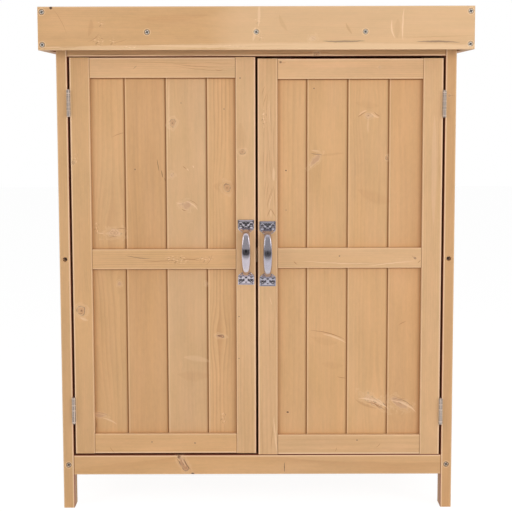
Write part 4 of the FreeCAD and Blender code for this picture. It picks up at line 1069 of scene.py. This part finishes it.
def bow_handle(side, middle, front):
    """The cast grip of one handle, a tapering oval carried along its bow.

    The section's half sizes swell towards the middle as one less the square of
    the rise, and flare towards the feet as a high power of one less the reach.
    The section is an oval of a power above 2, so that its sides are fuller.
    """
    sections, columns = 129, 64
    neck, flaring, fullness = 0.9, 6, 2.3
    size = bpy.context.scene.handle
    out, up = bow(np.linspace(0, 1, sections))
    half = size.height / 2 - size.foot_height + size.flare_thickness / 2 + MM
    reach = size.reach - size.foot_thickness / 2 - size.grip_thickness / 2
    line = np.stack((np.full_like(out, side), front - size.foot_thickness / 2 - reach * out,
                     middle + half * up), axis=-1)
    along = np.gradient(line, axis=0)
    along /= np.linalg.norm(along, axis=1)[:, None]
    along[0], along[-1] = (0, -1, 0), (0, 1, 0)
    wide = np.array((1.0, 0.0, 0.0))
    thick = np.cross(along, wide)
    swell = np.clip(1 - (up / neck) ** 2, 0, 1)
    flare = (1 - out) ** flaring
    major = size.neck_width + (size.grip_width - size.neck_width) * swell
    major = (major + (size.flare_width - size.neck_width) * flare) / 2
    minor = size.neck_thickness + (size.grip_thickness - size.neck_thickness) * swell
    minor = (minor + (size.flare_thickness - size.neck_thickness) * flare) / 2
    turn = np.linspace(0, math.tau, columns, endpoint=False)
    cos, sin = (np.sign(wave) * np.abs(wave) ** (2 / fullness)
                for wave in (np.cos(turn), np.sin(turn)))
    return (line[:, None] + (major[:, None] * cos)[..., None] * wide
            + (minor[:, None] * sin)[..., None] * thick[:, None])


def foot_plate(side, middle, front, towards, holes):
    """One foot of a handle: a cast plate whose inner corners are cut.

    The outline is a smooth largest of straight edges, in polar form. The face
    falls off as a dome, evenly downwards, and as a shoulder on either side of
    the grip. It carries low waves both ways and a groove inside its rim, dips
    round each screw, and rolls over to the door as a quarter ellipse. Heights
    are parts of the foot's thickness, and rings parts of the way to its outline.
    """
    size = bpy.context.scene.handle
    columns, sharp = 128, 24
    turn = np.linspace(0, math.tau, columns, endpoint=False)
    wide, high = size.foot_width / 2, size.foot_height / 2
    cut = math.atan2(size.foot_cut_width, size.foot_cut_height)
    away = wide * math.cos(cut) + (high - size.foot_cut_height) * math.sin(cut)
    edges = [(0, wide), (math.pi, wide), (math.pi / 2, high), (-math.pi / 2, high),
             (towards * cut, away), (math.pi - towards * cut, away)]
    reach = sum(np.maximum(np.cos(turn - angle) / away, 1e-9) ** sharp for angle, away in edges)
    reach = reach ** (-1 / sharp)
    ring = np.concatenate((np.linspace(0.03, 0.84, 25), np.linspace(0.86, 1, 9), (1.0, 0.05)))
    ring = ring[:, None]
    across = side + ring * reach * np.cos(turn)
    up = middle + ring * reach * np.sin(turn)
    one, two = (across - side) / wide, (up - middle) / high * -towards
    shoulder = ramp(-two, 0.3, 0.7) * ramp(np.abs(one), 0.2, 0.3)
    drop = ramp((middle - up) / high, -0.3, 1.3)
    dome = 0.98 - 0.1 * ring ** 2 - 0.56 * drop - 0.25 * shoulder
    waves = 0.13 * np.cos(3.1 * math.pi * one) * np.cos(2.2 * math.pi * two) * (1 - ring ** 4)
    groove_ring, groove_width = 0.78, 0.07
    groove = 0.16 * np.exp(-((ring - groove_ring) / groove_width) ** 2)
    dips = 0
    for hole_side, _, hole_up, radius in holes:
        near = ((across - hole_side) ** 2 + (up - hole_up) ** 2) / radius ** 2
        dips = dips + 0.26 * np.exp(-near ** 2)
    fall = np.sqrt(np.clip(1 - ramp(ring, 0.88, 0.12) ** 2, 0, 1))
    height = (dome + waves - groove - dips) * (0.25 + 0.75 * fall)
    height[-2:] = 0
    deep = front - height.clip(0, 1) * size.foot_thickness
    return np.stack((across, deep, up), axis=-1)


def handle_piece(label, body, chrome):
    """A bow handle: grip and two feet, in one casting, for a CAD handle."""
    low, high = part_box(label)
    size = bpy.context.scene.handle
    side = (low[0] + high[0]) / 2
    middle = (low[2] + high[2]) / 2
    front = high[1]
    foot = size.height / 2 - size.foot_height / 2
    dip = 1.25
    holes = [(*centre, radius * dip) for centre, _, _, _, radius in screw_places(body + "_screws")
             if abs(centre[0] - side) < size.foot_width / 2]
    surfaces = [bow_handle(side, middle, front)]
    surfaces += [foot_plate(side, middle + sign * foot, front, -sign, holes) for sign in (1, -1)]
    return new_piece(label + "_casting", surfaces, body, chrome, label)


def felt_material():
    """Mineral felt: dark bitumen under fine grit of many greys."""
    roof = bpy.context.scene.roof
    material, tree, shader = new_material("felt")
    where = add(tree, "TexCoord").outputs["Object"]
    grains = add(tree, "TexVoronoi", {"feature": "F1"}, Vector=where, Scale=1.0 / roof.grit)
    number = add(tree, "SeparateColor", Color=grains.outputs["Color"])
    grain = Signal(tree, number.outputs[0])
    cloud = noise(tree, where, 9.0, 3.0)
    light = grain * 0.75 + 0.62 + cloud * 0.35
    feed(tree, shader.inputs["Base Color"], tinted(tree, roof.felt, light, light, light))
    feed(tree, shader.inputs["Roughness"], grain * 0.2 + 0.72)
    height = Signal(tree, grains.outputs["Distance"]) * -2.0 + grain * 0.5 + cloud
    raised(tree, shader, 0.8, 0.6 * MM, height)
    return material


def plastic_material():
    """Moulded plastic of the catches, finely grained."""
    material, tree, shader = new_material("catch")
    grain = noise(tree, add(tree, "TexCoord").outputs["Object"], 2200.0)
    tint = 1.0 + grain * 0.2
    colour = bpy.context.scene.hardware.catch
    feed(tree, shader.inputs["Base Color"], tinted(tree, colour, tint, tint, tint))
    feed(tree, shader.inputs["Roughness"], grain * 0.2 + 0.45)
    raised(tree, shader, 0.3, 0.2 * MM, grain)
    return material


# Operators

class CABINET_OT_groups(bpy.types.Operator):
    """Makes the shader groups that the timber materials share"""

    bl_idname = "cabinet.groups"
    bl_label = "Timber groups"

    def execute(self, context):
        for make in (make_softwood, make_flow, make_knot, make_line, make_fleck, make_boards,
                     make_band):
            make()
        return {"FINISHED"}


class CABINET_OT_front(bpy.types.Operator):
    """Finishes the posts, the rails round the doors and the roof's front board"""

    bl_idname = "cabinet.front"
    bl_label = "Front timber"

    def execute(self, context):
        joints = [("x", end, 1.5, "joint_stain_and_shade", 0.6) for end in (
            float(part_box("front_left_post")[1][0]), float(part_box("front_right_post")[0][0]))]
        # Edges that face the gaps round the doors get painted shade
        gaps = {"front_left_post": ("high",), "front_right_post": ("low",),
                "front_top_rail": ("low",), "front_bottom_rail": ("high",)}
        for name, choices in {
            "front_left_post": dict(UPRIGHT, light=0.95, seed=1.3, figure=0.3),
            "front_right_post": dict(UPRIGHT, tone="ruddy", light=0.95, seed=2.1, figure=0.3),
            # The top rail is darker (light 0.86): painted shade under the roof's front board
            "front_top_rail": dict(LEVEL, tone="ruddy", light=0.86, seed=3.4, figure=0.7),
            "front_bottom_rail": dict(LEVEL, seed=4.6, figure=0.35),
            "roof_front_board": dict(LEVEL, light=0.97, seed=5.2, figure=0.16, wander=10.0),
        }.items():
            bands = edge_bands(name, "x" if "post" in name else "z", gaps.get(name, ()))
            if "rail" in name:
                bands += joints
            heads = flush_heads(name, "roof_screws") + flush_heads(name, "frame_screws")
            dress(timber_material(name, **choices, bands=bands, heads=heads), name)
        return {"FINISHED"}


class CABINET_OT_doors(bpy.types.Operator):
    """Finishes the stiles, rails and boards of both doors"""

    bl_idname = "cabinet.doors"
    bl_label = "Doors"

    def execute(self, context):
        joints = door_joints()
        for name, choices in {
            "left_door_hinge_stile": dict(UPRIGHT, seed=6.1, figure=0.3, light=0.98),
            "left_door_free_stile": dict(UPRIGHT, tone="pale", seed=7.7, figure=0.25),
            "left_door_top_rail": dict(LEVEL, tone="pale", light=1.05, seed=8.2, figure=0.4),
            "left_door_middle_rail": dict(LEVEL, light=1.04, seed=9.9, figure=0.4),
            "left_door_bottom_rail": dict(LEVEL, seed=10.4, figure=0.2),
            "right_door_hinge_stile": dict(UPRIGHT, tone="pale", seed=11.8, figure=0.2),
            "right_door_free_stile": dict(UPRIGHT, tone="pale", seed=12.6, figure=0.3, pith=-60),
            "right_door_top_rail": dict(LEVEL, tone="pale", light=1.05, seed=13.1, figure=0.3),
            "right_door_middle_rail": dict(LEVEL, tone="pale", seed=14.9, figure=0.3),
            "right_door_bottom_rail": dict(LEVEL, tone="pale", seed=15.3, figure=0.3),
            "left_door_boards": dict(UPRIGHT, seed=16.2, boards=(*joints["left"], (
                ("honey", 1.0, 0.3, 62), ("ruddy", 0.95, 0.16, 48), ("pale", 0.96, 0.1, 90),
                ("honey", 1.02, 0.5, 64)))),
            "right_door_boards": dict(UPRIGHT, seed=17.5, boards=(*joints["right"], (
                ("honey", 0.98, 0.3, 58), ("honey", 0.99, 0.14, -90), ("honey", 1.01, 0.2, 70),
                ("ruddy", 1.0, 0.16, 40)))),
        }.items():
            dress(timber_material(name, **choices, bands=door_bands(name)), name)
        return {"FINISHED"}


def door_bands(name):
    """Pale edges of a door's frame, worn and painted highlights, stain where its pieces meet, and
    painted shade beside the stiles, under the rails and in the gaps.
    """
    door, _, part = name.partition("_door_")
    stiles = sorted((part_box(door + "_door_" + each) for each in ("hinge_stile", "free_stile")),
                    key=lambda box: box[0][0])
    inner = (float(stiles[0][1][0]), float(stiles[1][0][0]))
    if part == "boards":
        top, middle, bottom = (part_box(door + "_door_" + each + "_rail")
                               for each in ("top", "middle", "bottom"))
        under = (float(top[0][2]), float(middle[0][2]))
        over = (float(middle[1][2]), float(bottom[1][2]))
        # Boards: painted shade cast by the stiles, 7 mm wide, and the dark joints beside them;
        # painted shadow under the top and middle rails; dark joints over the middle and bottom
        # rails
        return ([("x", place, 7, "joint_stain_and_shade", 0.32) for place in inner]
                + [("x", place, 1.6, "joint_stain_and_shade", 0.5) for place in inner]
                + [("z", place, 3.0, "joint_stain_and_shade", 0.75) for place in under]
                + [("z", place, 1.8, "joint_stain_and_shade", 0.45) for place in over])
    if part.endswith("stile"):
        outer = "low" if (part == "hinge_stile") == (door == "left") else "high"
        return edge_bands(name, "x", (outer,))
    gap = {"top_rail": ("high",), "bottom_rail": ("low",)}.get(part, ())
    return edge_bands(name, "z", gap) + [("x", place, 1.5, "joint_stain_and_shade", 0.65) for place in inner]


def door_joints():
    """The first board joint of each door, and the cover of its boards."""
    found = {}
    for side in ("left", "right"):
        parts = loose_parts(side + "_door_boards")
        if side == "left":
            edges = sorted(points[:, 0].min() for points in parts)[1:]
        else:
            edges = sorted(points[:, 0].max() for points in parts)
        found[side] = (float(edges[0]), float(edges[1] - edges[0]))
    return found


class CABINET_OT_walls(bpy.types.Operator):
    """Finishes the sides, the back, the floor, the shelf and the roof's timber"""

    bl_idname = "cabinet.walls"
    bl_label = "Walls, floor, shelf and roof timber"

    def execute(self, context):
        cover = door_joints()["left"][1]
        outer = (("honey", 1.0, 0.4, 60), ("pale", 0.98, 0.15, -80), ("honey", 1.02, 0.3, 50),
                 ("ruddy", 0.97, 0.2, 20), ("honey", 0.99, 0.5, -45))
        inner = (("bare", 1.0, 0.4, 55), ("bare", 0.97, 0.2, -70), ("bare", 1.02, 0.5, 35))
        for name, grain, face, seed, traits in (
            ("left_side_boards", "z", "x", 68.0, outer),
            ("right_side_boards", "z", "x", 71.0, outer[::-1]),
            ("back_boards", "z", "y", 53.0, outer + outer[::-1]),
            ("floor_boards", "y", "z", 56.0, inner * 3 + inner[:1]),
            ("shelf_boards", "x", "z", 56.0, inner + inner[:2]),
            ("roof_deck_boards", "x", "z", 68.0, inner * 2),
        ):
            axis = "xyz".index(board_axes(grain, face)[1])
            edges = sorted(points[:, axis].min() for points in loose_parts(name))
            least = cover * 0.3
            first = float(next(edge for edge in edges if edge > edges[0] + least))
            dress(timber_material(name, grain, face, seed, boards=(first, cover, traits)), name)
        shared = {
            "upright": ("z", "x", ["rear_left_post", "rear_right_post"]),
            "side rail": ("y", "x", [
                "left_top_rail", "left_middle_rail", "left_bottom_rail", "right_top_rail",
                "right_middle_rail", "right_bottom_rail", "roof_left_board", "roof_right_board"]),
            "rear rail": ("x", "y", [
                "rear_top_rail", "rear_middle_rail", "rear_bottom_rail", "roof_rear_board"]),
            "cleat": ("x", "z", ["front_floor_cleat", "rear_floor_cleat"]),
            "bearer": ("y", "x", [
                "shelf_cleats", "shelf_batten", "roof_bearers", "roof_end_bearers"]),
        }
        for number, (name, (grain, face, nodes)) in enumerate(shared.items()):
            tone = "bare" if name in ("cleat", "bearer") else "honey"
            dress(timber_material(name, grain, face, 40.0 + 2.7 * number, tone), *nodes)
        return {"FINISHED"}


class CABINET_OT_felt(bpy.types.Operator):
    """Covers the roof with mineral felt"""

    bl_idname = "cabinet.felt"
    bl_label = "Roof felt"

    def execute(self, context):
        dress(felt_material(), "roof_felt")
        return {"FINISHED"}


class CABINET_OT_hardware(bpy.types.Operator):
    """Makes the screws and finishes hinges, catches and strike plates"""

    bl_idname = "cabinet.hardware"
    bl_label = "Screws, hinges and catches"

    def execute(self, context):
        hardware = context.scene.hardware
        pin = (float(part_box("right_door_hinge_leaves")[0][0])
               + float(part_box("right_door_hinge_leaves")[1][0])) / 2
        # Painted shade: dark broken lines up the hinge barrels, at the pin and at either side
        seams = [(pin + 0.3 * MM, 1.0 * MM, 0.95), (pin - 2.7 * MM, 1.2 * MM, 0.7),
                 (pin + 2.7 * MM, 1.2 * MM, 0.7)]
        zinc = metal_material("zinc", hardware.zinc, 0.42, share=0.35, seams=seams)
        bright = metal_material("bright_zinc", hardware.bright, 0.34, share=0.2)
        dull = metal_material("dull_zinc", hardware.dull, 0.4, share=0.3)
        chrome = metal_material("plated_screws", context.scene.handle.chrome, 0.16, share=0.9)
        for node, body, material in (
            ("frame_screws", "cabinet", dull), ("roof_screws", "cabinet", bright),
            ("post_hinge_screws", "cabinet", zinc), ("left_door_screws", "left_door", chrome),
            ("right_door_screws", "right_door", chrome),
        ):
            screws(node, body, material)
        dress(zinc, "post_hinge_leaves", "hinge_pins", "left_door_hinge_leaves",
              "right_door_hinge_leaves", "left_door_strike_plate", "right_door_strike_plate")
        catches(plastic_material(), zinc)
        return {"FINISHED"}


class CABINET_OT_handles(bpy.types.Operator):
    """Makes the chromed bow handles of both doors"""

    bl_idname = "cabinet.handles"
    bl_label = "Handles"

    def execute(self, context):
        size = context.scene.handle
        # The right handle is rougher, and its darker colour is painted shade
        for side, colour, roughness in (("left", size.chrome, 0.09), ("right", size.worn_and_painted_light, 0.2)):
            chrome = metal_material(side + "_chrome", colour, roughness, 0.03, 300.0)
            handle_piece(side + "_door_handle", side + "_door", chrome)
        return {"FINISHED"}


class CABINET_OT_stage(bpy.types.Operator):
    """Sets the camera, the lamps, the pale floor and the white surroundings"""

    bl_idname = "cabinet.stage"
    bl_label = "Stage"

    def execute(self, context):
        settings = context.scene.stage
        make_camera(settings)
        make_world(settings)
        make_floor(settings)
        middle = (0, -0.1, 0.46)
        for name, side, share in (("left", -1, 1.0), ("right", 1, 1.2)):
            lamp("key_" + name, (2.3 * side, -1.2, 2.4), middle, (0.7, 1.5),
                 settings.key_power * share)
            low = lamp("side_" + name, (2.1 * side, -2.0, 1.2), middle, (0.9, 1.3),
                       settings.side_power * share)
            low.visible_glossy = False
        top = lamp("top", (0.2, -1.3, 2.7), middle, (2.4, 1.2), settings.top_power)
        broad = lamp("front", (0.5, -3.2, 1.0), middle, (3.0, 2.4), settings.front_power)
        top.visible_glossy = broad.visible_glossy = False
        make_room()
        context.scene.view_settings.view_transform = "Standard"
        return {"FINISHED"}


def make_camera(settings):
    """A long lens a little above the middle of the doors, looking slightly down."""
    data = bpy.data.cameras.new("camera")
    data.lens = settings.lens
    camera = placed("camera", data)
    camera.location = (settings.camera_side, -settings.camera_front, settings.camera_height)
    camera.rotation_mode = "ZYX"
    camera.rotation_euler = (math.pi / 2 - settings.camera_pitch, 0, -settings.camera_roll)
    bpy.context.scene.camera = camera


def seen_or_mirrored(tree):
    """1 for rays from the camera, from gloss and through glass."""
    rays = add(tree, "LightPath").outputs
    return (Signal(tree, rays["Is Camera Ray"]) + Signal(tree, rays["Is Glossy Ray"])
            + Signal(tree, rays["Is Transmission Ray"])).math("MINIMUM", 1.0)


def make_world(settings):
    """White to the camera and in reflections, and an even light on the object."""
    world = bpy.data.worlds.new("surroundings")
    world.use_nodes = True
    tree = world.node_tree
    background = tree.nodes["Background"]
    background.inputs["Color"].default_value = (1, 1, 1, 1)
    share = seen_or_mirrored(tree)
    feed(tree, background.inputs["Strength"], share * (1.0 - settings.daylight) + settings.daylight)
    bpy.context.scene.world = world


def make_floor(settings):
    """A wide pale floor that shows white and keeps a faint shadow."""
    half, whiteness = 9.0, 0.93
    material, tree, shader = new_material("floor")
    tree.nodes.remove(shader)
    diffuse = add(tree, "BsdfDiffuse", Color=settings.floor)
    faint = add(tree, "BsdfDiffuse", Color=(0.2, 0.2, 0.2))
    glow = add(tree, "Emission", Color=(1, 1, 1), Strength=whiteness)
    shown = add(tree, "AddShader")
    feed(tree, shown.inputs[0], faint.outputs[0])
    feed(tree, shown.inputs[1], glow.outputs[0])
    blend = add(tree, "MixShader")
    feed(tree, blend.inputs[0], seen_or_mirrored(tree))
    feed(tree, blend.inputs[1], diffuse.outputs[0])
    feed(tree, blend.inputs[2], shown.outputs[0])
    feed(tree, tree.nodes["Material Output"].inputs["Surface"], blend.outputs[0])
    corners = [(-half, -half, 0), (half, -half, 0), (half, half, 0), (-half, half, 0)]
    floor = new_object("floor", corners, [(0, 1, 2, 3)], material)


def make_room():
    """The dim room behind the camera, which only gloss shows.

    A sheet lies ahead of the cabinet, stands up behind the camera and turns over
    as a ceiling, with a wall to each side. It is darkest round the camera, and
    light on the floor close to the cabinet, on the ceiling above it, and on
    either side wall beside it.
    """
    wall, low, back, ceiling = 3.6, 0.004, -4.6, 3.6
    material, tree, shader = new_material("room")
    tree.nodes.remove(shader)
    side, ahead, up = split(tree, add(tree, "TexCoord").outputs["Object"])
    wide = side.math("ABSOLUTE")
    clear = up.rise(1.0, 1.8).math("MAXIMUM", ahead.rise(-3.0, -1.7))
    blots = noise(tree, packed(tree, side, ahead, up), 2.4, 3.0) + 1.0
    lens = 1.0 - ((side * side) + (up - 0.85) * (up - 0.85)).rise(0.02, 0.6)
    dim = (clear * 0.34 + 0.1) * blots * (1.0 - lens * 0.85)
    paper = ahead.rise(-1.6, -0.85) * (1.0 - up.rise(0.0, 0.4)) * 0.54
    above = ahead.rise(-1.35, -0.7) * up.rise(3.0, 3.5) * 0.55
    pane = wide.rise(1.7, 3.4) * ahead.rise(-1.5, -1.0) * up.rise(0.9, 1.3)
    glow = dim + paper + above + pane * 0.95
    emission = add(tree, "Emission", Color=(1, 0.99, 1.02), Strength=glow)
    feed(tree, tree.nodes["Material Output"].inputs["Surface"], emission.outputs[0])
    line = [(-0.32, low), (back, low), (back, ceiling), (-0.2, ceiling)]
    corners = [(side, front, up) for front, up in line for side in (-wall, wall)]
    sheets = [(0, 2, 3, 1), (2, 4, 5, 3), (4, 6, 7, 5), (6, 4, 2, 0), (1, 3, 5, 7)]
    card = new_object("room", corners, sheets, material)
    card.visible_camera = card.visible_diffuse = card.visible_shadow = False
    card.visible_transmission = False


def lamp(name, place, target, size, power):
    """An area lamp at a place, facing a target."""
    data = bpy.data.lights.new(name, "AREA")
    data.shape = "RECTANGLE"
    data.size, data.size_y = size
    data.energy = power
    light = placed(name, data)
    light.location = place
    away = np.array(place) - np.array(target)
    flat = math.hypot(away[0], away[1])
    light.rotation_euler = (math.atan2(flat, away[2]), 0, math.atan2(away[0], -away[1]))
    return light


class CABINET_PT_panel(bpy.types.Panel):
    """Lists the steps that dress the cabinet, and their sizes and colours"""

    bl_idname = "CABINET_PT_panel"
    bl_label = "Garden cabinet"
    bl_space_type = "VIEW_3D"
    bl_region_type = "UI"
    bl_category = "Garden cabinet"

    def draw(self, context):
        for step in STEPS:
            self.layout.operator(step.bl_idname)
        for holder in SETTINGS:
            settings = getattr(context.scene, holder)
            box = self.layout.box()
            for name in settings.__annotations__:
                box.prop(settings, name)


STEPS = (
    CABINET_OT_groups, CABINET_OT_front, CABINET_OT_doors, CABINET_OT_walls, CABINET_OT_felt,
    CABINET_OT_hardware, CABINET_OT_handles, CABINET_OT_stage,
)
SETTINGS = {
    "timber": TimberSettings, "handle": HandleSettings, "hardware": HardwareSettings,
    "roof": RoofSettings, "stage": StageSettings,
}


def register():
    """Adds the settings, the steps and the panel."""
    for holder, group in SETTINGS.items():
        bpy.utils.register_class(group)
        setattr(bpy.types.Scene, holder, bpy.props.PointerProperty(type=group))
    for kind in (*STEPS, CABINET_PT_panel):
        bpy.utils.register_class(kind)


def unregister():
    """Takes them away again."""
    for kind in (CABINET_PT_panel, *reversed(STEPS)):
        bpy.utils.unregister_class(kind)
    for holder, group in SETTINGS.items():
        delattr(bpy.types.Scene, holder)
        bpy.utils.unregister_class(group)


def main():
    """Dresses the cabinet from first step to last."""
    register()
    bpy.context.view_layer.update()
    for step in STEPS:
        module, name = step.bl_idname.split(".")
        getattr(getattr(bpy.ops, module), name)()


if __name__ == "__main__":
    main()
